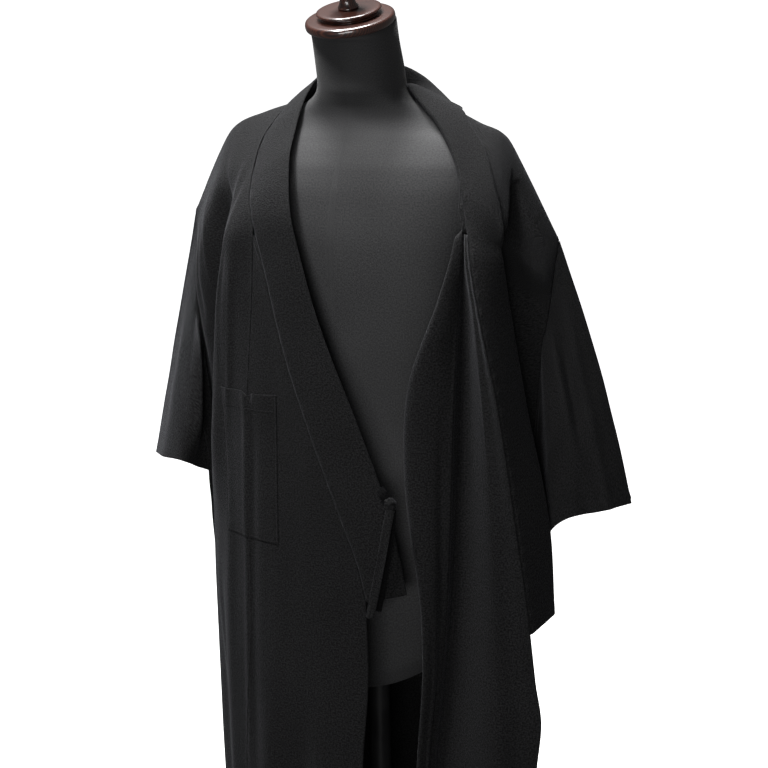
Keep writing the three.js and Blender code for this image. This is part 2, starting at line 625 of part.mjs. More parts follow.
function sleeve(name, side) {
  const cuffAt = side === RIGHT ? cuffRight : cuffLeft;
  const front = ARMHOLE_DROPS.map((drop) => -drop);
  const back = ARMHOLE_DROPS.slice(1, -1).reverse();
  const point = (signedDrop, along) => {
    const share = (Math.abs(signedDrop) / (SHOULDER_LEVEL - ARMHOLE_BOTTOM)) / 2;
    const { out, y, z } = cuffAt(signedDrop <= 0 ? share : 1 - share);
    const edge = bodyPoint(side, 1, signedDrop);
    const cuff = new THREE.Vector3(side * out, y, z);
    const seam = bodyPoint(side, 1, signedDrop + 2).sub(bodyPoint(side, 1, signedDrop - 2)).normalize();
    const away = cuff.clone().sub(edge);
    away.addScaledVector(seam, -away.dot(seam) * smoothstep(share, 0, 0.08)).normalize();
    away.lerp(new THREE.Vector3(side * 5, 0, 0), smoothstep(share, 0.38, 0.5));
    const start = lerp(2 * CLOTH, CLOTH + SEAM_GAP, smoothstep(share, 0, 0.05));
    return edge.addScaledVector(away, start).lerp(cuff, along);
  };
  const round = [...front, ...back];
  if (side === LEFT) round.reverse();
  return clothWall(name, cloth, point, round, evenly(12), CLOTH, { ring: true });
}

// ---- Pocket and tie ----

function pocket() {
  const point = (angle, level) => drape(RIGHT, angle, level);
  const angles = evenly(10, POCKET.outer, POCKET.inner);
  const levels = evenly(8, POCKET.bottom, POCKET.top);
  const shift = CLOTH + 4 * SEAM_GAP;
  return clothWall('pocket', cloth, point, angles, levels, CLOTH, { shift });
}

// A flat strip of the tie from one end to the other, its width turned from level by these degrees.
function tieStrip({ name, fromX, fromY, fromZ, toX, toY, toZ, turn }) {
  const from = new THREE.Vector3(fromX, fromY, fromZ);
  const to = new THREE.Vector3(toX, toY, toZ);
  const across = new THREE.Vector3(Math.cos(degToRad(turn)), 0, Math.sin(degToRad(turn)));
  const point = (u, v) => from.clone().lerp(to, v).addScaledVector(across, (0.5 - u) * TIE.width);
  return clothWall(name, cloth, point, evenly(2), evenly(6), TIE.thick);
}

function tieKnot() {
  const geometry = new THREE.SphereGeometry(0.5, 16, 10);
  geometry.scale(TIE.knotWidth, TIE.knotDepth, TIE.knotHeight);
  geometry.translate(KNOT.x, KNOT.y, KNOT.z);
  const mesh = new THREE.Mesh(geometry, cloth);
  mesh.name = 'tie_knot';
  return mesh;
}

// ---- The dress form and its stand ----

function torsoRing(z, scale, lift) {
  const { half, front, back, power } = torsoAt(z);
  return evenly(48, 0, 360).slice(0, -1).map((angle) => {
    const turn = degToRad(angle);
    const round = (value) => Math.sign(value) * Math.abs(value) ** (2 / power);
    const x = half * scale * round(Math.sin(turn));
    const middle = (back - front) / 2;
    const depth = (back + front) / 2;
    const y = middle - depth * scale * round(Math.cos(turn));
    return new THREE.Vector3(x, y, z + lift(x, y));
  });
}

function formTorso() {
  const arch = (strength) => (x) => LEG_ARCH * x * x * strength;
  const rings = [0.1, 0.5, 0.9].map((scale) => torsoRing(TORSO_BOTTOM, scale, arch(1)));
  for (const z of [720, 732, 760, 790, 830, 880, 950, 1010, 1060, 1120, 1180, 1240, 1290, 1325, 1350,
    1370, 1385, 1396, 1405, 1413, 1420, 1427, 1434, 1441, 1447, 1453, 1458, 1464, 1469, 1475, 1480, 1486,
    1492, 1500, 1508, 1520, 1532]) {
    const strength = 1 - smoothstep(z, TORSO_BOTTOM, 950);
    rings.push(torsoRing(z, 1 - 0.03 * (1 - smoothstep(z, TORSO_BOTTOM, 740)), arch(strength)));
  }
  const slope = Math.tan(degToRad(NECK.lean));
  rings.push(torsoRing(NECK.z, 1, (x, y) => (y - NECK.y) * slope));
  return loft('form_torso', cover, rings);
}

// Rings of equally many points, from the lowest to the highest, closed at both ends.
function loft(name, material, rings) {
  const count = rings[0].length;
  const positions = rings.flat().flatMap((point) => [...point]);
  const index = [];
  for (let j = 0; j < rings.length - 1; j += 1) {
    for (let i = 0; i < count; i += 1) {
      const k = (i + 1) % count;
      const [a, b] = [j * count + i, j * count + k];
      index.push(a, b, b + count, a, b + count, a + count);
    }
  }
  for (const [ring, first] of [[rings[0], 0], [rings.at(-1), (rings.length - 1) * count]]) {
    const middle = positions.length / 3;
    const centre = ring.reduce((sum, point) => sum.add(point), new THREE.Vector3()).divideScalar(count);
    positions.push(...centre);
    for (let i = 0; i < count; i += 1) {
      const k = (i + 1) % count;
      if (first === 0) index.push(first + k, first + i, middle);
      else index.push(first + i, first + k, middle);
    }
  }
  return meshOf(name, material, positions, index);
}

// A turned piece from its profile of radius and height, standing on the given height.
function turned(name, material, profile, segments = 48) {
  const points = profile.map(([radius, height]) => new THREE.Vector2(radius, height));
  const geometry = new THREE.LatheGeometry(points, segments);
  geometry.rotateX(Math.PI / 2);
  const mesh = new THREE.Mesh(geometry, material);
  mesh.name = name;
  return mesh;
}

function neckCap() {
  const cap = new THREE.Group();
  cap.position.set(NECK.x, NECK.y, NECK.z + SEAM_GAP);
  cap.rotation.x = degToRad(NECK.lean);
  const { radius, thick, tierRadius, tierThick } = CAP;
  const disc = [[0, 0], [radius - 2, 0], [radius, 2], [radius + 1, thick / 2], [radius, thick - 2],
    [radius - 3, thick], [0, thick]];
  cap.add(turned('cap_disc', wood, disc));
  const tier = [[0, 0], [tierRadius, 0], [tierRadius + 1, tierThick / 2], [tierRadius - 3, tierThick],
    [0, tierThick]];
  const tierMesh = turned('cap_tier', wood, tier);
  tierMesh.position.z = thick + SEAM_GAP;
  cap.add(tierMesh);
  const knob = [[0, 0], [13, 0], [11, 6], [9, 12], [12, 17], [19, 23], [22, 31], [20, 39], [13, 45],
    [0, 47]];
  const knobMesh = turned('cap_knob', wood, knob, 32);
  knobMesh.position.z = thick + tierThick + 2 * SEAM_GAP;
  cap.add(knobMesh);
  return cap;
}

function stand() {
  const { radius, thick } = BASE;
  const plate = [[0, 0], [radius, 0], [radius, thick - 5], [radius - 5, thick], [radius - 40, thick + 3],
    [POLE.foot, thick + 8], [POLE.radius + 8, thick + 26], [POLE.radius + 6, thick + 30], [0, thick + 30]];
  const foot = thick + 30 + SEAM_GAP;
  const height = TORSO_BOTTOM - SEAM_GAP - foot;
  const pole = turned('pole', metal, [[0, 0], [POLE.radius, 0], [POLE.radius, height], [0, height]], 32);
  pole.position.z = foot;
  return [turned('base', metal, plate, 64), pole];
}

// ---- Assembly ----

const group = new THREE.Group();
group.name = 'yukata_on_dress_form';
group.add(bodyPanel('body_right', RIGHT));
group.add(bodyPanel('body_left', LEFT));
const levelsBelow = (top) => DROPS.filter((drop) => drop >= top).map((drop) => SHOULDER_LEVEL - drop).reverse();
group.add(clothWall('okumi_right', cloth, overlapRight, evenly(6), levelsBelow(162), CLOTH));
const flippedHeights = levelsBelow(135).map(flapHeight);
group.add(clothWall('okumi_left', cloth, overlapLeft, evenly(8), flippedHeights, CLOTH));
group.add(collarRight(), collarLeft());
group.add(sleeve('sleeve_right', RIGHT), sleeve('sleeve_left', LEFT));
group.add(pocket(), tieKnot(), ...TIE_PATH.map(tieStrip));
group.add(formTorso(), neckCap(), ...stand());

export default group;
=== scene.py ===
import math

import bpy
import numpy as np
from mathutils import Matrix, Vector


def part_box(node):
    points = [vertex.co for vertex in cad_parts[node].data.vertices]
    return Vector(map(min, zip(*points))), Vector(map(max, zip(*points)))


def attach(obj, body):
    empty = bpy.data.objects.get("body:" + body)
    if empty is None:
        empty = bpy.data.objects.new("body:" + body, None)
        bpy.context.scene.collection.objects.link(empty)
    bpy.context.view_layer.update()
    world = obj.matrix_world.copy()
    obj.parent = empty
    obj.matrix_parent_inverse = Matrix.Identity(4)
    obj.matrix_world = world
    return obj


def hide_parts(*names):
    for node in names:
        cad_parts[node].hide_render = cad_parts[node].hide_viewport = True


# A man's black yukata, worn open on a limbless dress form with a lacquered neck cap, a pole and a
# round base. The cloth is made as thin shells on the surfaces of the frame's solids, with finer
# folds, hems, seams and stitches. Lengths are in millimetres until a mesh is made.
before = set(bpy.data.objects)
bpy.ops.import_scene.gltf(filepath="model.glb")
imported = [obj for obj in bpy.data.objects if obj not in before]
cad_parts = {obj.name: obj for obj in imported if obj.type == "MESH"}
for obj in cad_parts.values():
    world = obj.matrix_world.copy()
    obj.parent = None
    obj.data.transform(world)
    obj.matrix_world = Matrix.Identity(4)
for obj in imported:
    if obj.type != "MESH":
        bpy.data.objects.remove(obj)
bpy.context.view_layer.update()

MM = 0.001
RIGHT, LEFT = -1, 1
SIDE_NAME = {RIGHT: "right", LEFT: "left"}

# ---- Driving sizes ----
# Thickness of the cloth and of the doubled collar, here and in the frame's solids.
CLOTH = 1.2
BAND = 2.8
FRAME_CLOTH = 1.6
FRAME_BAND = 2.6
# Levels up from the floor. The left front is flipped open below the apex.
HEM = 120
SHOULDER = 1485
ARMHOLE_BOTTOM = 915
ARMHOLE = SHOULDER - ARMHOLE_BOTTOM
COLLAR_END = {RIGHT: 854, LEFT: 823}
OVERLAP_TIP = 1333
OVERLAP_TOP = {RIGHT: 1323, LEFT: 1350}
APEX = 1403
FLAP_SAG = 46
NECK_DROP = 47
# Half the gap at a seam, in degrees. The right overlap panel's seam shuts between two levels.
SEAM = 0.03
SEAM_SHUTS = (-1240, -1150)
# The top line of the shoulders: how far back it is, and how the cloth bends over it.
RIDGE_Y = -6
RIDGE_REACH = 170
RIDGE_ROUNDNESS = 0.3
RIDGE_FADE = 1000
HEM_WIDTH = 14


def table(names, *rows):
    """A table as a dict from each column's name to its values."""
    return dict(zip(names.split(), np.array(rows, float).T))


# The hanging garment seen from above at each height: half widths and depths from the pole's axis.
WALL = table(
    "z right left front back",
    (120, 228, 196, 160, 150),
    (400, 224, 194, 155, 145),
    (640, 229, 196, 153, 142),
    (820, 230, 202, 150, 135),
    (915, 229, 214, 148, 128),
    (960, 229, 222, 147, 125),
    (1100, 230, 236, 143, 118),
    (1250, 240, 244, 138, 122),
    (1330, 246, 250, 132, 124),
    (1485, 250, 254, 126, 120),
)

# The top line of each shoulder, from the neck out to the sleeve seam.
RIDGE = {
    RIGHT: table(
        "x z", (0, 1492), (52, 1484), (92, 1464), (142, 1448), (187, 1429), (210, 1396), (250, 1318)
    ),
    LEFT: table(
        "x z", (0, 1492), (60, 1482), (108, 1460), (153, 1438), (184, 1424), (202, 1396), (254, 1298)
    ),
}

# Seams and edges on the hanging cloth, in degrees round the body from the front.
RIGHT_COLLAR_SEAM = table(
    "level angle",
    (854, -12.4), (900, -9.7), (962, -3.7), (1059, 5.8), (1132, 12.8), (1196, 17.5),
    (1272, 21.6), (1333, 25.4), (1397, 29.5), (1447, 30.4), (1469, 27.9), (1485, 25.7),
)
RIGHT_OVERLAP_SEAM = table(
    "level angle", (120, 42), (591, 38), (774, 33), (929, 32), (1084, 31.6), (1234, 27.1), (1333, 25.4)
)
RIGHT_OVERLAP_EDGE = table("level angle", (120, -6), (633, -10.6), (751, -12.8), (854, -12.3))
LEFT_NECK_SEAM = table(
    "level angle", (1403, 37.4), (1433, 33.7), (1461, 25.7), (1473, 18.7), (1485, 12.6)
)
ARMHOLE_EDGE = table(
    "level front back",
    (915, 91.98, 92.02),
    (945, 85, 96),
    (1000, 80, 100),
    (1200, 79, 101),
    (1400, 80, 100),
    (1455, 83, 97),
    (1475, 87, 93),
    (1485, 90, 90),
)

# Folds of the hanging cloth, from a height down to a height, between two angles: a ridge is positive
# and a valley negative. The bow moves the middle of a fold sideways. A fold that is still deep at
# the hem ends below it.
FOLD_NAMES = "start end first last bow width depth"
FOLDS = {
    RIGHT: table(
        FOLD_NAMES,
        (1430, 970, 44.5, 74, 0, 9, -34),
        (1420, 900, 28, 60, 3.5, 7, 9),
        (860, -300, 62, 66, 0, 8, -11),
        (760, -300, 12, 16, 0, 7, -9),
        (1300, -300, 112, 116, 0, 8, -14),
        (1240, -300, 130, 136, 0, 9, 13),
        (1160, -300, 152, 156, 0, 7, -12),
        # The smaller creases between them.
        (1425, 1040, 28, 55, 3.5, 1.5, 2.4),
        (1435, 1290, 33.5, 42, 0.5, 1.5, 2.6),
        (1465, 1300, 47, 40, 0, 1.5, -2.4),
        (1450, 1240, 57, 63, 0, 1.6, 3.4),
        (1440, 1200, 66, 71, 1.0, 2.0, -3.0),
        (1325, 1040, 32.5, 44, 0.6, 1.4, 1.8),
        (1350, 1090, 36.5, 47, 0.5, 2.0, -2.0),
        (1170, 560, 31.0, 36, 0.4, 1.8, 1.6),
        (1110, 500, 28.0, 33, 0.3, 2.4, -1.8),
        (980, 400, 44, 47, 1.0, 3.0, 1.8),
        (900, 250, 54, 58, 0, 3.0, -2.6),
        (820, -300, 24, 28, 1.0, 4.0, 2.6),
        (700, -300, 2, 6, 0.5, 3.4, 2.4),
        (620, -300, 34, 41, 0, 3.6, -3.0),
        (540, -300, 74, 77, 0, 4.0, 3.2),
        (1380, 900, 103, 106, 1.0, 3.0, 3.2),
        (1280, 420, 120, 124, -1.0, 3.0, -3.6),
        (1180, -300, 143, 146, 0.8, 2.8, 3.4),
        (1060, -300, 166, 168, 0, 3.6, 3.0),
        (760, -300, 98, 101, 0, 4.0, -4.0),
        (1440, 1260, 118, 140, 3.0, 4.0, -2.8),
    ),
    LEFT: table(
        FOLD_NAMES,
        (1495, 1180, 59.5, 66, 0, 5, -26),
        (1485, 1190, 65, 72, 0, 6.5, -14),
        (1478, 1220, 48, 60, 0, 4.5, 9),
        (1280, -300, 110, 118, 0, 9, -15),
        (1200, -300, 134, 139, 0, 8, 12),
        (1100, -300, 158, 162, 0, 7, -11),
        # The smaller creases between them.
        (1484, 1360, 54, 57, 0, 1.8, -5.0),
        (1470, 1150, 73, 76, 0, 3.0, 3.0),
        (1380, 960, 104, 107, -1.0, 3.2, 3.4),
        (1290, 380, 123, 127, 1.0, 3.0, -3.8),
        (1160, -300, 146, 149, 0.6, 2.8, 3.2),
        (1040, -300, 168, 170, 0, 3.4, 3.0),
        (740, -300, 99, 102, 0, 4.0, -4.0),
        (1430, 1240, 120, 142, 3.0, 4.0, -2.6),
    ),
}

# The flipped left front: the seam at the bottom of its deep valley, the roll of its flap, and the
# cloth behind the flap on its way back to the side.
FLAP = table(
    "z dip_x dip_y roll_x roll_y tuck_x tuck_y back_x back_y",
    (120, 100, -92, 74, -118, 101, -78, 150, -56),
    (630, 121, -92, 104, -118, 121, -80, 160, -60),
    (760, 135, -92, 114, -119, 134, -81, 168, -62),
    (860, 144, -92, 111, -119, 141, -82, 172, -64),
    (1000, 152, -92, 94, -119, 148, -83, 179, -65),
    (1125, 157, -93, 99, -118, 152, -84, 186, -64),
    (1235, 161, -95, 138, -114, 162, -84, 192, -60),
    (1300, 163, -95, 153, -100, 167, -84, 194, -56),
    (1362, 154, -78, 152, -79, 164, -73, 192, -54),
)

# The left overlap panel: the soft ridge along its middle, and its outer edge.
LEFT_OVERLAP = table(
    "z ridge_x ridge_y edge_x edge_y",
    (120, 200, -122, 240, -104),
    (640, 213, -120, 258, -100),
    (707, 211, -119, 264, -100),
    (760, 209, -118, 257, -101),
    (842, 205, -117, 250, -107),
    (988, 199, -117, 232, -115),
    (1111, 190, -116, 214, -118),
    (1212, 182, -112, 192, -117),
    (1280, 170, -104, 176, -107),
    (1320, 165, -92, 167, -93),
    (1362, 155, -77, 156, -77),
)

# The free edge of each collar band, against its seam's drop below the shoulder level. A positive
# drop is behind the shoulder, and a negative one in front of it.
COLLAR_FREE = {
    RIGHT: table(
        "drop x y z",
        (-631, 100, -134, 866),
        (-585, 90, -138, 924),
        (-523, 74, -141, 990),
        (-426, 40, -143, 1083),
        (-353, 9, -143, 1158),
        (-289, -14, -140, 1216),
        (-213, -36, -135, 1286),
        (-152, -51, -127, 1338),
        (-88, -65, -97, 1397),
        (-38, -71, -64, 1434),
        (-16, -72, -38, 1464),
        (0, -68, -12, 1488),
        (12, -64, 14, 1499),
        (30, -44, 44, 1506),
        (40, -22, 53, 1508),
        (47, -0.2, 54, 1508),
    ),
    LEFT: table(
        "drop x y z",
        (-662, 268, -60, 838),
        (-525, 260, -60, 960),
        (-385, 232, -62, 1100),
        (-250, 211, -68, 1232),
        (-180, 206, -73, 1280),
        (-130, 201, -71, 1304),
        (-82, 193, -62, 1358),
        (-52, 182, -50, 1386),
        (-24, 162, -26, 1412),
        (-12, 146, -10, 1428),
        (0, 128, 8, 1444),
        (12, 104, 30, 1461),
        (30, 62, 49, 1486),
        (40, 30, 55, 1502),
        (47, 0.2, 54, 1508),
    ),
}

# Where the left band lies on the shoulder, its free edge is on the body panel. Behind the shoulder
# the angle is from the centre back.
COLLAR_LYING = table(
    "drop angle level",
    (-130, 54, 1362),
    (-104, 51.8, 1386),
    (-82, 50.3, 1403),
    (-52, 47.3, 1424),
    (-24, 41.1, 1461),
    (-12, 35, 1476),
    (0, 30, 1485),
    (12, 26, 1478),
    (30, 20, 1466),
    (47, 12, 1460),
)

# The cuff of each sleeve, round from its top fold through the front, and how far out it hangs.
CUFF = {
    RIGHT: table(
        "turn out y z",
        (0, 338, 10, 975),
        (0.08, 303, -30, 982),
        (0.14, 264, -53, 986),
        (0.2, 250, -36, 975),
        (0.26, 239, -2, 952),
        (0.36, 238, 22, 870),
        (0.5, 244, 40, 770),
        (0.62, 258, 64, 800),
        (0.72, 276, 84, 885),
        (0.8, 296, 88, 932),
        (0.9, 322, 58, 962),
        (1, 338, 10, 975),
    ),
    LEFT: table(
        "turn out y z",
        (0, 344, 10, 970),
        (0.08, 314, -26, 966),
        (0.14, 282, -50, 961),
        (0.2, 262, -56, 945),
        (0.26, 247, -34, 915),
        (0.36, 226, -6, 860),
        (0.5, 212, 8, 800),
        (0.62, 220, 42, 865),
        (0.72, 240, 72, 925),
        (0.8, 274, 88, 940),
        (0.9, 318, 58, 958),
        (1, 344, 10, 970),
    ),
}

# Pleats and creases of the sleeves, between two places along from the armhole (0) to the cuff (1),
# and between two turns. A pleat that is still deep at the cuff ends past it. The back is the same
# on both sleeves.
SLEEVE_BACK_FOLDS = table(
    FOLD_NAMES,
    (0.10, 1.8, 0.590, 0.585, 0, 0.022, -18),
    (0.05, 1.8, 0.680, 0.675, 0, 0.022, -20),
    (0.05, 1.8, 0.770, 0.765, 0, 0.022, -17),
    (0.08, 1.6, 0.850, 0.860, 0.004, 0.018, 6),
    (0.10, 1.6, 0.915, 0.925, -0.004, 0.018, -9),
    (0.05, 1.5, 0.970, 0.965, 0, 0.010, 2.0),
)
SLEEVE_FOLDS = {
    RIGHT: table(
        FOLD_NAMES,
        (0.25, 1.5, 0.075, 0.090, 0.006, 0.022, -1.6),
        (0.00, 1.02, 0.185, 0.178, 0, 0.020, -22),
        (0.00, 1.8, 0.240, 0.245, 0, 0.018, -12),
        (0.05, 1.8, 0.300, 0.310, 0, 0.020, -20),
        (0.05, 1.8, 0.385, 0.395, 0, 0.020, -18),
    ),
    LEFT: table(
        FOLD_NAMES,
        (0.05, 1.6, 0.040, 0.060, 0.006, 0.012, -3.2),
        (0.12, 1.5, 0.085, 0.110, 0, 0.014, 3.4),
        (0.05, 1.1, 0.125, 0.090, -0.004, 0.012, -3.6),
        (0.05, 1.8, 0.300, 0.310, 0, 0.020, -6),
        (0.05, 1.8, 0.385, 0.395, 0, 0.020, -17),
    ),
}
LEFT_SLEEVE_BOW = 6

# Creases of the flap and of the left overlap panel, down between two heights, placed by the share
# of the way across.
FLAP_CREASES = table(
    FOLD_NAMES,
    (1290, 700, 0.10, 0.12, 0, 0.020, -2.0),
    (1150, 250, 0.17, 0.15, 0.01, 0.022, 2.2),
    (900, -300, 0.22, 0.20, 0, 0.018, -2.6),
    (700, -300, 0.13, 0.12, 0, 0.016, 2.0),
    (1100, -300, 0.70, 0.72, 0, 0.030, -8),
    (1000, -300, 0.84, 0.85, 0, 0.030, 6),
)
OVERLAP_LEFT_CREASES = table(
    FOLD_NAMES,
    (1350, 700, 0.66, 0.47, 0, 0.36, -5),
    (1200, 620, 0.40, 0.44, 0.02, 0.14, -1.6),
    (900, 240, 0.66, 0.58, -0.02, 0.14, -2.4),
    (560, -300, 0.40, 0.48, 0, 0.12, 2.2),
)

# The pocket's levels, its side edges and the panel seam under it in degrees, its hem, and its
# stitches: their distance from the edge, spacing, length and thickness.
POCKET = {"top": 1110, "bottom": 915, "inner": 18.5, "outer": 46, "seam": 31.6, "hem": 22}
STITCH = {"inset": 2.2, "step": 1.35, "length": 1.9, "thick": 0.5}

# The tie: the middle lines of its pieces, and their turn at both ends in degrees.
TIE = {"width": 11, "thick": 1.6}
TIE_PIECES = {
    "tie_bar": [(71, -144.5, 1002), (76, -147.4, 997.5), (81.3, -147.8, 990.8)],
    "tie_tail_front": [
        (87, -151, 979), (84, -152.4, 962), (76, -153.6, 916), (66, -153.4, 872), (57, -152.4, 836)
    ],
    "tie_tail_back": [
        (88, -148.5, 979), (87, -148.8, 962), (81, -149.2, 920), (73, -149.8, 880), (66, -149.4, 846)
    ],
}
TIE_TURN = {"tie_bar": (48, 40), "tie_tail_front": (14, -10), "tie_tail_back": (-12, 22)}
KNOT = {"x": 86, "y": -148, "z": 985, "width": 15, "depth": 9, "height": 16}

# The form's body from above at each height, and the forward lean of its neck.
TORSO = table(
    "z half front back power",
    (716, 152, 96, 94, 2.4),
    (760, 160, 99, 100, 2.4),
    (830, 163, 100, 104, 2.4),
    (950, 152, 95, 92, 2.4),
    (1060, 147, 97, 84, 2.4),
    (1180, 160, 107, 90, 2.4),
    (1290, 174, 112, 94, 2.4),
    (1350, 181, 102, 86, 2.3),
    (1385, 179, 90, 74, 2.1),
    (1405, 174, 79, 62, 1.9),
    (1420, 161, 69, 52, 1.8),
    (1434, 135, 61, 44, 1.7),
    (1447, 109, 57, 37, 1.7),
    (1458, 86, 58, 32, 1.8),
    (1469, 67, 63, 31, 1.9),
    (1480, 58, 68, 32, 2),
    (1492, 56.5, 70, 30, 2),
    (1508, 56, 74, 26, 2),
    (1532, 55, 81, 17, 2),
    (1562, 54, 90, 6, 2),
)
TORSO_BOTTOM = 716
LEG_ARCH = 0.003
NECK = {"y": -48, "z": 1558, "lean": 17}
GAP = 0.3

# Turned profiles, from the axis at the bottom to the axis at the top, as radius and height.
CAP_DISC = [(0, 0), (51, 0), (54.5, 0.8), (55.8, 4), (55.8, 8), (54.5, 11), (50, 12), (0, 12)]
CAP_TIER = [
    (0, 0), (37, 0), (37, 1), (34, 2.2), (34, 3.2), (39.5, 4.6), (40.8, 7), (39, 8.6), (34, 9), (0, 9)
]
CAP_KNOB = [
    (0, 0), (13, 0), (13, 2), (10.5, 5), (9, 11), (10, 15), (16, 19), (21, 25), (22, 31), (20, 39),
    (13, 45), (5, 47), (0, 47)
]
BASE_PLATE = [
    (0, 0), (158, 0), (160, 2), (160, 12), (157, 16.5), (150, 18.4), (120, 21), (70, 24), (46, 27),
    (30, 32), (22, 42), (20, 47), (16, 48), (0, 48)
]
POLE_RADIUS = 14
POLE_BEVEL = 0.6


# ---- Numbers and curves ----

def smooth(value, low, high):
    """0 at low, 1 at high, with level ends."""
    share = np.clip((value - low) / (high - low), 0, 1)
    return share * share * (3 - 2 * share)


def mix(first, second, share):
    return first + (second - first) * share


def bump(distance, width):
    """A smooth rounded line, 1 on it and 0 away from it."""
    return np.exp(-((distance / width) ** 2))


def point(x, y, z):
    return np.stack(np.broadcast_arrays(x, y, z), -1).astype(float)


def unit(vectors):
    length = np.linalg.norm(vectors, axis=-1, keepdims=True)
    return vectors / np.maximum(length, 1e-9)


def read(rows, name, where):
    """A column of a table as a smooth function of its first one, held past both ends."""
    at, value = next(iter(rows.values())), rows[name]
    after = np.minimum(np.arange(len(at)) + 1, len(at) - 1)
    before = np.maximum(np.arange(len(at)) - 1, 0)
    slope = (value[after] - value[before]) / (at[after] - at[before])
    x = np.clip(where, at[0], at[-1])
    i = np.clip(np.searchsorted(at, x, side="left") - 1, 0, len(at) - 2)
    span = at[i + 1] - at[i]
    t = (x - at[i]) / span
    leave = t * (1 - t) * (1 - t) * span * slope[i]
    arrive = t * t * (1 - t) * span * slope[i + 1]
    return mix(value[i], value[i + 1], t * t * (3 - 2 * t)) + leave - arrive


def spline(points, share):
    """A centripetal Catmull-Rom curve through the points, at a share of the way from 0 to 1."""
    ends = [2 * points[0] - points[1], *points, 2 * points[-1] - points[-2]]
    stack = np.stack(np.broadcast_arrays(*ends))
    spans = len(points) - 1
    where = np.clip(np.asarray(share, float), 0, 1) * spans
    i = np.minimum(where.astype(int), spans - 1)
    t = (where - i)[..., None]

    def pick(k):
        return np.take_along_axis(stack, (i + k)[None, ..., None], 0)[0]

    a, b, c, d = (pick(k) for k in range(4))
    gap = [np.sqrt(np.linalg.norm(q - p, axis=-1, keepdims=True)) for p, q in ((a, b), (b, c), (c, d))]
    gap = [np.maximum(g, 1e-3) for g in gap]
    leave = ((b - a) / gap[0] - (c - a) / (gap[0] + gap[1]) + (c - b) / gap[1]) * gap[1]
    arrive = ((c - b) / gap[1] - (d - b) / (gap[1] + gap[2]) + (d - c) / gap[2]) * gap[1]
    third = -3 * b + 3 * c - 2 * leave - arrive
    fourth = 2 * b - 2 * c + leave + arrive
    return b + leave * t + third * t * t + fourth * t * t * t


def spaced(low, high, count, fine=(), reach=5.0, step=1.0):
    """Values from low to high, closer together round the fine ones."""
    groups = [np.linspace(low, high, count + 1)]
    for centre in fine:
        groups.append(np.clip(np.arange(centre - reach, centre + reach + step / 2, step), low, high))
    values = np.unique(np.concatenate(groups))
    kept = [values[0]]
    for value in values[1:-1]:
        if value - kept[-1] > step * 0.6 and values[-1] - value > step * 0.6:
            kept.append(value)
    return np.array([*kept, values[-1]])


def relief(rows, across, down):
    """How far the folds of a table push the cloth out. start and end are places down the cloth."""
    total = np.zeros(np.broadcast(across, down).shape)
    for start, end, first, last, bow, width, depth in zip(*rows.values()):
        along = (down - start) / (end - start)
        centre = mix(first, last, along) + bow * 4 * along * (1 - along)
        fade = smooth(along, 0, 0.2) * (1 - smooth(along, 0.7, 1))
        total += depth * fade * bump(across - centre, width)
    return total


# ---- The draped surface ----

def ripple(angle, level):
    """The slight unevenness of hanging cloth."""
    slow = np.sin(0.21 * angle + 1.7 * np.sin(level / 260)) * np.sin(level / 310 + 0.05 * angle)
    quick = np.sin(0.55 * angle + 0.9 * np.sin(level / 140 + 1)) * np.sin(level / 95 + 0.11 * angle)
    return 0.9 * slow + 0.35 * quick


def drape(side, angle, level):
    """A point of the hanging cloth. The level is the height, except near the shoulders, where the
    cloth follows their slope: the shoulder level itself is the top line of the shoulder."""
    angle, level = np.broadcast_arrays(np.asarray(angle, float), np.asarray(level, float))
    turn = np.radians(angle)
    calm = smooth(SHOULDER - level, 0, 120)
    out = relief(FOLDS[side], angle, level) + calm * ripple(angle, level)
    width = read(WALL, SIDE_NAME[side], level) + out
    depth = np.where(np.cos(turn) > 0, read(WALL, "front", level), read(WALL, "back", level))
    x = width * np.sin(turn)
    top = read(RIDGE[side], "z", np.abs(x))
    z = level - (SHOULDER - top) * smooth(level, RIDGE_FADE, SHOULDER)
    reach = np.clip((SHOULDER - level) / RIDGE_REACH, 0, 1)
    straight = np.sin(math.pi / 2 * reach)
    rounded = np.sqrt(1 - (1 - reach) ** 2)
    y = mix(RIDGE_Y, -(depth + out) * np.cos(turn), mix(straight, rounded, RIDGE_ROUNDNESS))
    return point(side * x, y, z)


def neck_angle(side):
    rows = RIGHT_COLLAR_SEAM if side == RIGHT else LEFT_NECK_SEAM
    return read(rows, "angle", SHOULDER)


def back_inner_edge(side, drop):
    """Round the back of the neck to the centre, then down the centre seam: angle and level."""
    turn = math.pi / 2 * np.minimum(drop / NECK_DROP, 1)
    reach = math.sin(math.radians(neck_angle(side))) * np.cos(turn)
    angle = 180 - SEAM - np.degrees(np.arcsin(reach))
    level = np.where(drop >= NECK_DROP, SHOULDER - drop, SHOULDER - NECK_DROP * np.sin(turn))
    return angle, level


def front_inner_edge(side, level):
    if side == LEFT:
        return read(LEFT_NECK_SEAM, "angle", level)
    above = read(RIGHT_COLLAR_SEAM, "angle", level)
    return np.where(level > OVERLAP_TIP, above, read(RIGHT_OVERLAP_SEAM, "angle", level))


def back_point(side, u, drop):
    angle, level = back_inner_edge(side, drop)
    outer = read(ARMHOLE_EDGE, "back", SHOULDER - drop)
    return drape(side, mix(angle, outer, u), mix(level, SHOULDER - drop, u))


def front_point(side, u, drop):
    level = SHOULDER - drop
    outer = read(ARMHOLE_EDGE, "front", level)
    return drape(side, mix(front_inner_edge(side, level), outer, u), level)


def flap_height(level):
    return level - FLAP_SAG * smooth(level, RIDGE_FADE, SHOULDER)


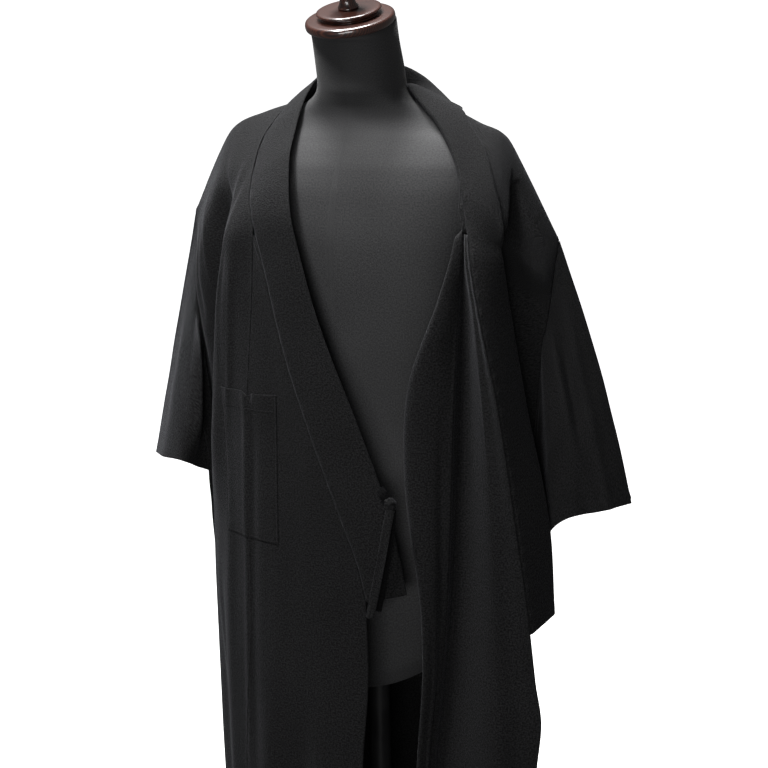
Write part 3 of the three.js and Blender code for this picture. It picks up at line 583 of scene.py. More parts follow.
def flap_point(u, drop):
    """The flipped left front below its apex: from the seam in the valley, over the flap, round its
    roll, and back behind it along the form to the side."""
    level = SHOULDER - drop
    z = flap_height(level)
    columns = (read(FLAP, name, z) for name in list(FLAP)[1:])
    dip_x, dip_y, roll_x, roll_y, tuck_x, tuck_y, back_x, back_y = columns
    side = drape(LEFT, read(ARMHOLE_EDGE, "front", level), level)
    opened = smooth(dip_x - roll_x, 0, 40)
    section = [
        point(dip_x, dip_y, z),
        point(mix(dip_x, roll_x, 0.1), mix(dip_y, roll_y, 0.3) - 6 * opened, z),
        point(mix(dip_x, roll_x, 0.5), mix(dip_y, roll_y, 0.6) - 14 * opened, z),
        point(mix(dip_x, roll_x, 0.85), mix(dip_y, roll_y, 0.9) - 10 * opened, z),
        point(roll_x, roll_y, z),
        point(mix(roll_x, tuck_x, 0.15), mix(roll_y, tuck_y, 0.35), z),
        point(tuck_x, tuck_y, z),
        point(back_x, back_y, mix(z, side[..., 2], 0.5)),
        side,
    ]
    return spline(section, np.broadcast_to(u, z.shape))


def body_point(side, u, signed_drop):
    """A point of a body panel: a negative drop is in front of the shoulder."""
    u, signed_drop = np.broadcast_arrays(np.asarray(u, float), np.asarray(signed_drop, float))
    drop = np.abs(signed_drop)
    front = front_point(side, u, drop)
    if side == LEFT:
        flipped = 1 - smooth(SHOULDER - drop, APEX - 60, APEX + 8)
        front = mix(front, flap_point(u, np.maximum(drop, SHOULDER - APEX)), flipped[..., None])
    return np.where((signed_drop >= 0)[..., None], back_point(side, u, drop), front)


def overlap_right_point(u, level):
    seam = read(RIGHT_OVERLAP_SEAM, "angle", level) - SEAM + 0.3 * smooth(-level, *SEAM_SHUTS)
    collar = read(RIGHT_COLLAR_SEAM, "angle", level) + SEAM
    edge = np.where(level >= COLLAR_END[RIGHT], collar, read(RIGHT_OVERLAP_EDGE, "angle", level))
    return drape(RIGHT, mix(seam, edge, u), level)


def overlap_left_point(u, z):
    u, z = np.broadcast_arrays(np.asarray(u, float), np.asarray(z, float))
    start = read(FLAP, "dip_x", z) + CLOTH + 0.2
    dip_y = read(FLAP, "dip_y", z)
    ridge_x, ridge_y, edge_x, edge_y = (read(LEFT_OVERLAP, name, z) for name in list(LEFT_OVERLAP)[1:])
    dent = np.minimum(3, 0.25 * (edge_x - ridge_x))
    section = [
        point(start, dip_y, z),
        point(mix(start, ridge_x, 0.3), mix(dip_y, ridge_y, 0.12), z),
        point(ridge_x, ridge_y, z),
        point(mix(ridge_x, edge_x, 0.55), mix(ridge_y, edge_y, 0.5) + dent, z),
        point(edge_x, edge_y, z),
    ]
    return spline(section, u)


# ---- Collar bands ----

def collar_seam(side, drop):
    level = SHOULDER + np.minimum(drop, 0)
    behind = back_point(side, 0, np.maximum(drop, 0))
    if side == RIGHT:
        front = drape(RIGHT, read(RIGHT_COLLAR_SEAM, "angle", level), level)
    else:
        z = flap_height(level)
        edge = point(read(LEFT_OVERLAP, "edge_x", z), read(LEFT_OVERLAP, "edge_y", z), z)
        neck = drape(LEFT, read(LEFT_NECK_SEAM, "angle", level), level)
        front = np.where((level > APEX)[..., None], neck, edge)
    return np.where((drop >= 0)[..., None], behind, front)


def collar_free(side, drop):
    return point(*(read(COLLAR_FREE[side], name, drop) for name in "xyz"))


def band_point(seam, free, u, inset, normal, crown):
    """A band across from its seam to its free edge, with a soft crown between them."""
    start = inset / np.linalg.norm(seam - free, axis=-1)
    share = mix(start, 1, u)[..., None]
    return mix(seam, free, share) + normal * (crown * 4 * u * (1 - u))[..., None]


def lifted_drape(side, angle, level, distance):
    """A point above the hanging cloth, at this distance along its normal."""
    around = drape(side, angle + 1, level) - drape(side, angle - 1, level)
    upward = drape(side, angle, level + 2) - drape(side, angle, level - 2)
    normal = unit(np.cross(around, upward)) * side
    return drape(side, angle, level) + normal * distance[..., None]


def lying_point(drop, u, lift):
    """A point of the left band where it lies on the shoulder."""
    free_angle = read(COLLAR_LYING, "angle", drop)
    free_level = read(COLLAR_LYING, "level", drop)
    inner_angle, inner_level = back_inner_edge(LEFT, np.maximum(drop, 0))
    level = np.maximum(SHOULDER + np.minimum(drop, 0), APEX)
    neck = read(LEFT_NECK_SEAM, "angle", level)
    angle = mix(inner_angle, 180 - free_angle, u)
    behind = lifted_drape(LEFT, angle, mix(inner_level, free_level, u), lift)
    front = lifted_drape(LEFT, mix(neck, free_angle, u), mix(level, free_level, u), lift)
    return np.where((drop > 0)[..., None], behind, front)


def collar_right_point(u, drop):
    inset = mix(0.2, 1.0, smooth(drop, -90, -40))
    crown = 3 + 0.8 * np.sin(drop / 23) * u + 0.6 * np.sin(drop / 61 + 2) * u
    seam, free = collar_seam(RIGHT, drop), collar_free(RIGHT, drop)
    return band_point(seam, free, u, inset, np.array([0.0, -1, 0]), crown)


def collar_left_point(u, drop):
    lift = FRAME_CLOTH / 2 + FRAME_BAND / 2 + GAP
    upward = smooth(drop, -60, 0)
    normal = unit(point(0, upward - 1, upward))
    on_shoulder = smooth(drop, -60, -9) * (1 - smooth(drop, 15, 40))
    inset = mix(CLOTH + 0.2, 1, smooth(drop, -150, -110))
    seam, free = collar_seam(LEFT, drop), collar_free(LEFT, drop)
    hanging = band_point(seam, free, u, inset, normal, 4 + 9 * on_shoulder)
    hanging = hanging + normal * (lift * on_shoulder)[..., None]
    share = smooth(drop, -150, -84) * (1 - smooth(drop, 3, 33))
    return mix(hanging, lying_point(drop, u, lift + 2 * u + 0.9), share[..., None])


# ---- Sleeves ----

def sleeve_point(side, turn, along):
    """A point of a sleeve: round from its top fold through the front, and out to the cuff."""
    turn, along = np.broadcast_arrays(np.asarray(turn, float), np.asarray(along, float))
    share = np.minimum(turn, 1 - turn)
    signed = np.where(turn <= 0.5, -2 * ARMHOLE, 2 * ARMHOLE) * share
    edge = body_point(side, 1, signed)
    out, y, z = (read(CUFF[side], name, turn) for name in ("out", "y", "z"))
    cuff = point(side * out, y, z)
    seam = unit(body_point(side, 1, signed + 2) - body_point(side, 1, signed - 2))
    away = cuff - edge
    lean = (away * seam).sum(-1) * smooth(share, 0, 0.08)
    away = unit(away - seam * lean[..., None])
    away = mix(away, np.array([side, 0.0, 0.0]), smooth(share, 0.38, 0.5)[..., None])
    start = mix(1.6, 1.0, smooth(share, 0, 0.05))
    place = mix(edge + away * start[..., None], cuff, along[..., None])
    if side == LEFT:
        bow = LEFT_SLEEVE_BOW * 4 * along * (1 - along) * (1 - smooth(share, 0.01, 0.09))
        place = place + point(bow, 0, 0.6 * bow)
    return place


# ---- Meshes ----

def grid_normals(grid, ring):
    if ring:
        across = np.roll(grid, -1, 0) - np.roll(grid, 1, 0)
    else:
        across = np.gradient(grid, axis=0)
    return unit(np.cross(across, np.gradient(grid, axis=1)))


def arc_lengths(grid, axis):
    """How far each point of a grid is along its row or column, in millimetres."""
    step = np.linalg.norm(np.diff(grid, axis=axis), axis=-1)
    start = np.zeros_like(np.take(step, [0], axis))
    return np.concatenate([start, np.cumsum(step, axis)], axis)


def measures(grid):
    """How far each point of a grid is across it and along it, and how far from its far side."""
    across, along = arc_lengths(grid, 0), arc_lengths(grid, 1)
    return across, along, across[-1:] - across


def make_object(name, vertices, faces, material, uv=None, edge=None):
    """A smooth-shaded mesh in metres, its faces turned outwards."""
    vertices = np.asarray(vertices, float) * MM
    faces = np.asarray(faces, int)
    a, b, c, d = (vertices[faces[:, k]] for k in range(4))
    volume = (a * np.cross(b, c)).sum() + (a * np.cross(c, d)).sum()
    if volume < 0:
        faces = faces[:, ::-1]
    mesh = bpy.data.meshes.new(name)
    mesh.vertices.add(len(vertices))
    mesh.vertices.foreach_set("co", vertices.astype(np.float32).ravel())
    mesh.loops.add(faces.size)
    mesh.loops.foreach_set("vertex_index", faces.astype(np.int32).ravel())
    mesh.polygons.add(len(faces))
    mesh.polygons.foreach_set("loop_start", np.arange(0, faces.size, 4, dtype=np.int32))
    mesh.update(calc_edges=True)
    mesh.validate()
    if uv is not None:
        layer = mesh.uv_layers.new(name="cloth")
        corner = np.zeros(len(mesh.loops), np.int32)
        mesh.loops.foreach_get("vertex_index", corner)
        layer.data.foreach_set("uv", (np.asarray(uv)[corner] * MM).astype(np.float32).ravel())
    if edge is not None:
        layer = mesh.attributes.new("edge", "FLOAT", "POINT")
        layer.data.foreach_set("value", np.asarray(edge, np.float32).ravel())
    mesh.polygons.foreach_set("use_smooth", np.ones(len(mesh.polygons), bool))
    mesh.materials.append(material)
    made = bpy.data.objects.new(name, mesh)
    bpy.context.scene.collection.objects.link(made)
    return made


def loop_of(wide, tall, ring):
    """The open edges of a grid, as lists of places in the direction that its faces take."""
    if ring:
        low = [(i, 0) for i in range(wide)]
        high = [(i, tall - 1) for i in reversed(range(wide))]
        return [low, high]
    low = [(i, 0) for i in range(wide - 1)]
    right = [(wide - 1, j) for j in range(tall - 1)]
    high = [(i, tall - 1) for i in range(wide - 1, 0, -1)]
    left = [(0, j) for j in range(tall - 1, 0, -1)]
    return [low + right + high + left]


def shell(name, grid, thick, material, lift=0.0, ring=False):
    """A grid of middle points as closed cloth of this thickness, with round edges. lift moves the
    cloth along its normal."""
    wide, tall = grid.shape[:2]
    normals = grid_normals(grid, ring)
    middle = grid + normals * np.broadcast_to(lift, (wide, tall))[..., None]
    half = np.broadcast_to(thick, (wide, tall))[..., None] / 2
    layers = [middle + normals * half, middle - normals * half]
    count = wide * tall
    place = np.arange(count).reshape(wide, tall)
    i = np.arange(wide if ring else wide - 1)
    k = (i + 1) % wide
    here, there = place[i], place[k]
    top = np.stack([here[:, :-1], there[:, :-1], there[:, 1:], here[:, 1:]], -1).reshape(-1, 4)
    faces = [top, top[:, ::-1] + count]
    vertices = [layer.reshape(-1, 3) for layer in layers]
    total = 2 * count
    across, along = arc_lengths(grid, 0), arc_lengths(grid, 1)
    uv = np.stack([across, along], -1).reshape(-1, 2)
    uvs = [uv, uv]
    for loop in loop_of(wide, tall, ring):
        ids = np.array([place[spot] for spot in loop])
        inward = []
        for a, b in loop:
            c = min(max(b, 1), tall - 2)
            e = a if ring else min(max(a, 1), wide - 2)
            inward.append(middle[e, c])
        edge_points = middle.reshape(-1, 3)[ids]
        radius = half.reshape(-1, 1)[ids]
        vertices.append(edge_points + unit(edge_points - np.array(inward)) * radius * 0.8)
        uvs.append(uv[ids])
        rim = total + np.arange(len(ids))
        total += len(ids)
        after, rim_after = np.roll(ids, -1), np.roll(rim, -1)
        faces.append(np.stack([after, ids, rim, rim_after], -1))
        faces.append(np.stack([rim_after, rim, ids + count, after + count], -1))
    edge = 1 - smooth(rim_distance(grid, ring), 0.4, 3)
    edges = [edge.ravel(), edge.ravel(), np.ones(total - 2 * count)]
    vertices, faces, uvs, edges = (np.concatenate(part) for part in (vertices, faces, uvs, edges))
    return make_object(name, vertices, faces, material, uvs, edges)


def rim_distance(grid, ring=False):
    """How far each point of a grid is from its nearest open edge."""
    along = arc_lengths(grid, 1)
    distance = np.minimum(along, along[:, -1:] - along)
    if ring:
        return distance
    across = arc_lengths(grid, 0)
    return np.minimum(distance, np.minimum(across, across[-1:] - across))


def hem_swell(distance, width, extra=0.4):
    """The extra thickness of a turned hem this wide, and the dent of its line of stitches."""
    turning = 1 - smooth(distance, width - 0.8, width + 0.8)
    return extra * turning - 0.25 * bump(distance - width + 2.5, 0.9)


def pucker(distance, along):
    """The faint gathers beside a seam."""
    return 0.35 * np.sin(along / 3.9 + 1.4 * np.sin(along / 17)) * bump(distance - 4, 4)


def seam_groove(distance, depth=0.5, width=1.6):
    return -depth * bump(distance, width)


def ring_faces(wide, tall):
    """The faces of closed rings one above another, with both ends filled."""
    place = np.arange(wide * tall).reshape(wide, tall)
    after = np.roll(place, -1, 0)
    sides = np.stack([place[:, :-1], after[:, :-1], after[:, 1:], place[:, 1:]], -1).reshape(-1, 4)
    k = np.arange(wide // 2 - 1)
    cap = np.stack([k, k + 1, wide - k - 2, wide - k - 1], -1)
    return np.concatenate([sides, place[:, 0][cap[:, ::-1]], place[:, -1][cap]])


def ring_solid(name, grid, material, uv=None):
    """Closed rings one above another as one solid."""
    wide, tall = grid.shape[:2]
    if uv is None:
        uv = np.meshgrid(arc_lengths(grid, 0).max(1), arc_lengths(grid, 1).mean(0), indexing="ij")
    uv = np.stack(uv, -1).reshape(-1, 2)
    faces = ring_faces(wide, tall)
    return make_object(name, grid.reshape(-1, 3), faces, material, uv, np.zeros(wide * tall))


def stitches(name, line, outward):
    """Short stitches laid end to end along a line, each a small spindle, as one mesh."""
    around, ribs = 6, np.array([0.25, 0.9, 0.9, 0.25])
    count = len(line) // 2
    start, end = line[:2 * count:2], line[1:2 * count:2]
    forward = unit(end - start)
    normal = outward[:2 * count:2]
    side = unit(np.cross(forward, normal))
    turn = 2 * math.pi / around * np.arange(around)[:, None, None]
    reach = STITCH["length"] / 2 * np.linspace(-1, 1, len(ribs))[:, None]
    middle, forward, side, normal = (
        part[:, None, None] for part in ((start + end) / 2, forward, side, normal)
    )
    spoke = side * np.cos(turn) + normal * np.sin(turn)
    vertices = middle + forward * reach + spoke * (STITCH["thick"] / 2 * ribs)[:, None]
    first = around * len(ribs) * np.arange(count)[:, None, None]
    faces = ring_faces(around, len(ribs)) + first
    return make_object(name, vertices.reshape(-1, 3), faces.reshape(-1, 4), THREAD)


def resample(line, values, step):
    """The values that belong to a line's points, at places this far apart along it."""
    length = np.concatenate([[0], np.cumsum(np.linalg.norm(np.diff(line, axis=0), axis=1))])
    at = np.arange(0, length[-1], step)
    return np.stack([np.interp(at, length, values[:, k]) for k in range(3)], -1)


# ---- Materials ----

class Look:
    """A material. Its methods add nodes and return what they give out."""

    def __init__(self, name, **settings):
        """The settings are the shader's own sockets, with "_" for each space."""
        self.material = bpy.data.materials.new(name)
        self.material.use_nodes = True
        self.tree = self.material.node_tree
        self.shader = self.tree.nodes["Principled BSDF"]
        for key, value in settings.items():
            self.shader.inputs[key.replace("_", " ")].default_value = value

    def feed(self, socket, value):
        """Link a value to a socket, or set the socket to a number."""
        if isinstance(value, bpy.types.NodeSocket):
            self.tree.links.new(value, socket)
        else:
            socket.default_value = value

    def drive(self, **values):
        """Link values to the shader's sockets."""
        for key, value in values.items():
            self.feed(self.shader.inputs[key.replace("_", " ")], value)

    def add(self, kind, output, **values):
        """A node with its settings, and with its inputs by their names."""
        node = self.tree.nodes.new(kind)
        for key, value in values.items():
            if key in node.inputs:
                self.feed(node.inputs[key], value)
            else:
                setattr(node, key, value)
        return node.outputs[output]

    def ramp(self, source, *stops):
        """Colours, or greys as single numbers, at their places along a value."""
        node = self.tree.nodes.new("ShaderNodeValToRGB")
        while len(node.color_ramp.elements) < len(stops):
            node.color_ramp.elements.new(0.5)
        for element, (place, colour) in zip(node.color_ramp.elements, stops):
            element.position = place
            element.color = (*np.broadcast_to(colour, 3), 1)
        self.feed(node.inputs["Fac"], source)
        return node.outputs["Color"]

    def maths(self, operation, first, second):
        node = self.tree.nodes.new("ShaderNodeMath")
        node.operation = operation
        self.feed(node.inputs[0], first)
        self.feed(node.inputs[1], second)
        return node.outputs[0]

    def times(self, first, second):
        return self.maths("MULTIPLY", first, second)

    def blend(self, first, share, second):
        """The sum of this share of the first value and the rest of the second."""
        return self.maths("ADD", self.times(first, share), self.times(second, 1 - share))

    def noise(self, vector, scale, detail=2.0, roughness=0.5):
        values = {"Vector": vector, "Scale": scale, "Detail": detail, "Roughness": roughness}
        return self.add("ShaderNodeTexNoise", "Fac", **values)

    def bands(self, vector, way, **values):
        values.update(wave_type="BANDS", bands_direction=way, Vector=vector)
        return self.add("ShaderNodeTexWave", "Fac", **values)

    def stretched(self, vector, *scale):
        return self.add("ShaderNodeMapping", "Vector", Vector=vector, Scale=scale)

    def mixed(self, how, share, first, second):
        return self.add(
            "ShaderNodeMix", "Result", data_type="RGBA", blend_type=how, Factor=share, A=first, B=second
        )

    def cloth_place(self):
        return self.add("ShaderNodeUVMap", "UV", uv_map="cloth")

    def object_place(self):
        return self.add("ShaderNodeTexCoord", "Object")

    def bumps(self, *heights):
        """Bumps one after another, each a height, its strength and its real depth in metres."""
        below = {}
        for height, strength, depth in heights:
            normal = self.add(
                "ShaderNodeBump", "Normal", Strength=strength, Distance=depth, Height=height, **below
            )
            below = {"Normal": normal}
        self.drive(**below)


def crepe(name="black_crepe", share=1.0):
    """Matte black crepe: pebbly twisted threads in a close plain weave, worn a little at its edges.
    A smaller share makes a darker copy with less sheen: painted shade, for the tie's pieces that lie in
    shadow."""
    look = Look(
        name, Specular_IOR_Level=0.16 * share, Sheen_Weight=0.075 * share, Sheen_Roughness=0.35,
        Sheen_Tint=(0.9, 0.92, 1, 1)
    )
    place = look.cloth_place()
    warp = look.noise(look.stretched(place, 2400, 700, 1), 1.0, 1.5)
    weft = look.noise(look.stretched(place, 800, 2200, 1), 1.0, 1.5)
    thread = look.times(look.maths("ADD", warp, weft), 0.5)
    pebble = look.noise(place, 450, 3.0, 0.65)
    patch = look.noise(place, 9, 3.0, 0.55)
    grain = look.blend(thread, 0.25, pebble)
    dark, light = (0.0014, 0.0014, 0.0018), 0.015 * share
    tone = look.ramp(grain, (0.42, dark), (0.58, (light, light, light * 1.03)))
    tone = look.mixed("MULTIPLY", 1.0, tone, look.ramp(patch, (0.3, 0.88), (0.7, 1.1)))
    edge = look.add("ShaderNodeAttribute", "Fac", attribute_name="edge")
    wear = look.times(edge, look.times(pebble, 0.35))
    tone = look.mixed("MIX", wear, tone, (0.0095, 0.0095, 0.01, 1))
    look.drive(Base_Color=tone, Roughness=look.ramp(grain, (0.3, 0.92), (0.7, 0.78)))
    look.bumps((thread, 0.5, 0.0004), (pebble, 1.0, 0.0013), (patch, 0.15, 0.002))
    return look.material


def thread_black():
    """The sewing thread: a little glossier than the cloth."""
    look = Look("black_thread", Specular_IOR_Level=0.3, Roughness=0.55)
    twist = look.noise(look.object_place(), 3000)
    look.drive(Base_Color=look.ramp(twist, (0.3, (0.007, 0.007, 0.008)), (0.7, (0.02, 0.02, 0.021))))
    look.bumps((twist, 0.4, 0.0002))
    return look.material


def knit():
    """The form's cover: dark grey knit with fine upright ribs, stretched smooth."""
    look = Look("form_knit", Specular_IOR_Level=0.28, Sheen_Weight=0.1, Sheen_Roughness=0.5, Roughness=0.62)
    place = look.cloth_place()
    ribs = look.bands(place, "X", Scale=220.0, Distortion=0.6)
    rows = look.bands(place, "Y", Scale=260.0, Distortion=0.8)
    loops = look.times(ribs, look.maths("ADD", look.times(rows, 0.5), 0.5))
    grain = look.noise(place, 480, 2.5, 0.65)
    both = look.blend(grain, 0.8, look.noise(place, 7))
    look.drive(Base_Color=look.ramp(both, (0.4, (0.0145, 0.0145, 0.0156)), (0.6, (0.0345, 0.0345, 0.0357))))
    look.bumps((loops, 0.25, 0.0003), (grain, 0.5, 0.0004))
    return look.material


def lacquered_wood():
    """Dark red-brown wood under clear gloss lacquer, its grain running across the disc."""
    look = Look("lacquered_wood", Roughness=0.35, Coat_Weight=1.0, Coat_Roughness=0.05, Coat_IOR=1.6)
    place = look.object_place()
    grain = look.bands(look.stretched(place, 14, 90, 90), "Y", Scale=1.6, Distortion=5.0, Detail=3.0)
    pores = look.noise(look.stretched(place, 120, 1500, 1500), 1.0, 3.0)
    dark, middle, pale = (0.014, 0.004, 0.003), (0.042, 0.011, 0.007), (0.08, 0.026, 0.014)
    tone = look.ramp(look.blend(grain, 0.6, pores), (0.25, dark), (0.6, middle), (0.85, pale))
    look.drive(Base_Color=tone)
    look.bumps((pores, 0.12, 0.0002))
    return look.material


def stand_paint():
    """Black satin paint on steel, faintly textured, duller where it has been handled."""
    look = Look("stand_paint", Metallic=0.0, Specular_IOR_Level=0.45)
    place = look.object_place()
    marks = look.noise(place, 18, 4.0)
    tone = look.ramp(marks, (0.3, (0.014, 0.014, 0.015)), (0.7, (0.024, 0.024, 0.025)))
    look.drive(Base_Color=tone, Roughness=look.ramp(marks, (0.35, 0.32), (0.65, 0.5)))
    look.bumps((look.noise(place, 900, 3.0), 0.2, 0.0002))
    return look.material


CREPE = crepe()
# A darker, less shiny copy of the crepe: painted shade for the tie's bar and back tail, which lie in
# shadow.
CREPE_PAINTED_SHADE = crepe("black_crepe_painted_shade", 0.35)
THREAD = thread_black()
KNIT = knit()
WOOD = lacquered_wood()
PAINT = stand_paint()


def keep(piece, slot, *nodes):
    """Every piece rides on the one body, and the frame's nodes that it stands in for are hidden. The slot
    is not used.
    """
    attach(piece, "root")
    if nodes:
        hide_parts(*nodes)
    return piece


def cloth_piece(node, grid, thick, lift=0.0, material=CREPE, ring=False):
    """The cloth that is seen in place of a node of the frame."""
    return keep(shell(node + "_cloth", grid, thick, material, lift, ring), "cloth", node)


# ---- Camera, before the pieces ----

CAMERA = {"azimuth": 24, "elevation": 12.5, "roll": 1.0, "distance": 2400, "lens": 86.72}
CAMERA_TARGET = (13.5, 2.4, 1099)


def camera():
    turn, rise, roll = (math.radians(CAMERA[name]) for name in ("azimuth", "elevation", "roll"))
    back = Vector((math.sin(turn) * math.cos(rise), -math.cos(turn) * math.cos(rise), math.sin(rise)))
    level = Vector((math.cos(turn), math.sin(turn), 0))
    upright = back.cross(level)
    right = level * math.cos(roll) - upright * math.sin(roll)
    up = upright * math.cos(roll) + level * math.sin(roll)
    data = bpy.data.cameras.new("camera")
    data.lens, data.sensor_width = CAMERA["lens"], 36
    data.clip_start, data.clip_end = 0.05, 60
    made = bpy.data.objects.new("camera", data)
    bpy.context.scene.collection.objects.link(made)
    place = (Vector(CAMERA_TARGET) + back * CAMERA["distance"]) * MM
    axes = Matrix((right, up, back)).transposed().to_4x4()
    made.matrix_world = Matrix.Translation(place) @ axes
    bpy.context.scene.camera = made


camera()

# ---- The garment ----

def body_panel(side):
    """One body panel, from its front hem over the shoulder to its back hem."""
    length = SHOULDER - HEM
    fine = (-length, -length + HEM_WIDTH, length - HEM_WIDTH, length, 0)
    rows = spaced(-length, length, 400, fine, reach=6, step=1.5)
    columns = spaced(0, 1, 84 if side == RIGHT else 92, fine=(0, 1), reach=0.028, step=0.005)
    u, v = np.meshgrid(columns, rows, indexing="ij")
    grid = body_point(side, u, v)
    across, along, far = measures(grid)
    armhole = 1 - 0.85 * smooth(np.abs(v), 50, 110)
    lift = seam_groove(across) + seam_groove(far) * armhole
    lift = lift + pucker(across, along) * (np.abs(v) > NECK_DROP) + pucker(far, along) * armhole
    if side == LEFT:
        flat_part = (v < -(SHOULDER - APEX + 60)) & (u < 0.9)
        lift = lift + np.where(flat_part, relief(FLAP_CREASES, u, SHOULDER + v), 0)
    ends = np.minimum(along, along[:, -1:] - along)
    piece = cloth_piece("body_" + SIDE_NAME[side], grid, CLOTH + hem_swell(ends, HEM_WIDTH), lift)


def overlap_panel(side):
    """The okumi: the narrow panel that widens each front."""
    levels = spaced(HEM, OVERLAP_TOP[side], 260, fine=(HEM, HEM + HEM_WIDTH), reach=6, step=1.5)
    columns = spaced(0, 1, 34, fine=(0, 1), reach=0.05, step=0.01)
    u, v = np.meshgrid(columns, levels, indexing="ij")
    if side == RIGHT:
        grid = overlap_right_point(u, v)
        across, along, far = measures(grid)
        lift = seam_groove(across, 0.6) * smooth(v, 1100, 1240) + pucker(across, along)
        lift = lift - 0.2 * smooth(-v, *SEAM_SHUTS) * bump(across, 4)
    else:
        z = flap_height(v)
        grid = overlap_left_point(u, z)
        across, along, far = measures(grid)
        creases = relief(OVERLAP_LEFT_CREASES, u, z) * smooth(across, 0, 12) * smooth(far, 0, 30)
        lift = seam_groove(across, 0.4) + creases
    open_edge = v < COLLAR_END[side]
    lift = lift + np.where(open_edge, 0, seam_groove(far) + pucker(far, along))
    hem = np.minimum(along, np.where(open_edge, far, 1e3))
    return cloth_piece("okumi_" + SIDE_NAME[side], grid, CLOTH + hem_swell(hem, HEM_WIDTH), lift)


def collar(side):
    """A collar band of doubled cloth, folded along its free edge."""
    reach = SHOULDER - COLLAR_END[side]
    rows = spaced(-reach, NECK_DROP, 330, fine=(-reach, 0), reach=5, step=1.2)
    columns = spaced(0, 1, 24, fine=(0, 1), reach=0.06, step=0.02)
    u, v = np.meshgrid(columns, rows, indexing="ij")
    grid = (collar_right_point if side == RIGHT else collar_left_point)(u, v)
    across, along, far = measures(grid)
    lift = seam_groove(across, 1.25, 2.2) + pucker(across, along)
    thick = BAND - 1.2 * bump(far, 1.6) - 1.4 * bump(across, 2.2) - 0.8 * bump(along, 1.6)
    thick = thick + 0.25 * np.sin(along / 13 + 2 * np.sin(along / 47)) * bump(far - 12, 9)
    return cloth_piece("collar_" + SIDE_NAME[side], grid, thick, lift)


def sleeve(side):
    """A sleeve: pleated cloth from the armhole to its turned cuff."""
    turns = spaced(0, 1, 230, fine=(0, 0.14, 0.5, 1), reach=0.012, step=0.002)[:-1]
    shares = spaced(0, 1, 84, fine=(0, 1), reach=0.06, step=0.006)
    t, s = np.meshgrid(turns, shares, indexing="ij")
    if side == LEFT:
        t = t[::-1]
    grid = sleeve_point(side, t, s)
    along = arc_lengths(grid, 1)
    far = along[:, -1:] - along
    fade = smooth(along, 0, 30)
    armhole = 1 - 0.85 * smooth(np.minimum(t, 1 - t), 0.05, 0.1)
    lift = (relief(SLEEVE_FOLDS[side], t, s) + relief(SLEEVE_BACK_FOLDS, t, s)) * fade
    lift = lift + (seam_groove(along) + pucker(along, t * 1500)) * armhole
    lift = lift + 0.5 * np.sin(t * 60 + 3 * np.sin(s * 5)) * np.sin(s * 9 + t * 12) * fade
    thick = CLOTH + hem_swell(far, HEM_WIDTH)
    return cloth_piece("sleeve_" + SIDE_NAME[side], grid, thick, lift, ring=True)


def pocket():
    """The patch pocket: its sides are stitched down, its hemmed mouth gapes a little, and it is
    tucked where it crosses the panel seam."""
    top, bottom, inner, outer, seam, width = (
        POCKET[name] for name in ("top", "bottom", "inner", "outer", "seam", "hem")
    )
    angles = spaced(-outer, -inner, 64, fine=(-outer, -inner, -seam), reach=0.8, step=0.25)
    levels = spaced(bottom, top, 86, fine=(bottom, top - width, top), reach=4, step=1.0)
    a, v = np.meshgrid(-angles, levels, indexing="ij")
    share = (v - bottom) / (top - bottom)
    near_mouth = smooth(share, 0.9, 1)
    dip = 5 * bump(a - seam + 1.1, 1.3) + 2.0 * smooth(a, 31, 29)
    grid = drape(RIGHT, a, v - dip * near_mouth)
    across, along = arc_lengths(grid, 0), arc_lengths(grid, 1)
    side = np.minimum(across, across[-1:] - across)
    sewn = np.minimum(side, along)
    mouth = smooth(share, 0.72, 1) * smooth(side, 0, 22)
    lift = 1.2 + 0.35 * smooth(sewn, 1, 9) + 1.7 * mouth - 0.35 * bump(sewn - STITCH["inset"], 0.8)
    lift = lift + 0.2 * np.sin(along / 4.3 + np.sin(along / 19)) * bump(side - 5, 4)
    lift = lift + 1.2 * bump(a - seam + 0.1 + 1.5 * (1 - share), 2.2) * smooth(share, 0.3, 0.9)
    lift = lift - 2.2 * bump(a - seam + 2.2, 0.9) * near_mouth
    thick = CLOTH + hem_swell(along[:, -1:] - along, width, 0.8)
    piece = cloth_piece("pocket", grid, thick, lift)
    stitch_line(piece, grid, lift, thick)
    return piece


def stitch_line(piece, grid, lift, thick):
    """The pocket's edge stitching, just inside its sides and bottom, and across its hem."""
    outside = grid_normals(grid, False)
    surface = grid + outside * (lift + thick / 2)[..., None]
    across, along = arc_lengths(grid, 0).mean(1), arc_lengths(grid, 1).mean(0)
    i_in = int(np.argmin(np.abs(across - STITCH["inset"])))
    i_out = int(np.argmin(np.abs(across[-1] - across - STITCH["inset"])))
    j_low = int(np.argmin(np.abs(along - STITCH["inset"])))
    j_hem = int(np.argmin(np.abs(along[-1] - along - POCKET["hem"] + 2)))
    tall = grid.shape[1]
    sides_and_bottom = [(i_in, j) for j in range(tall - 1, j_low, -1)]
    sides_and_bottom += [(i, j_low) for i in range(i_in, i_out)]
    sides_and_bottom += [(i_out, j) for j in range(j_low, tall)]
    hem = [(i, j_hem) for i in range(i_in, i_out + 1)]
    for number, run in enumerate((sides_and_bottom, hem)):
        ids = tuple(np.array(run).T)
        line = resample(surface[ids], surface[ids], STITCH["step"])
        ways = unit(resample(surface[ids], outside[ids], STITCH["step"]))
        made = keep(stitches("pocket_stitches_" + str(number), line, ways), "cloth")
        made.parent = piece
        made.matrix_parent_inverse = Matrix.Identity(4)


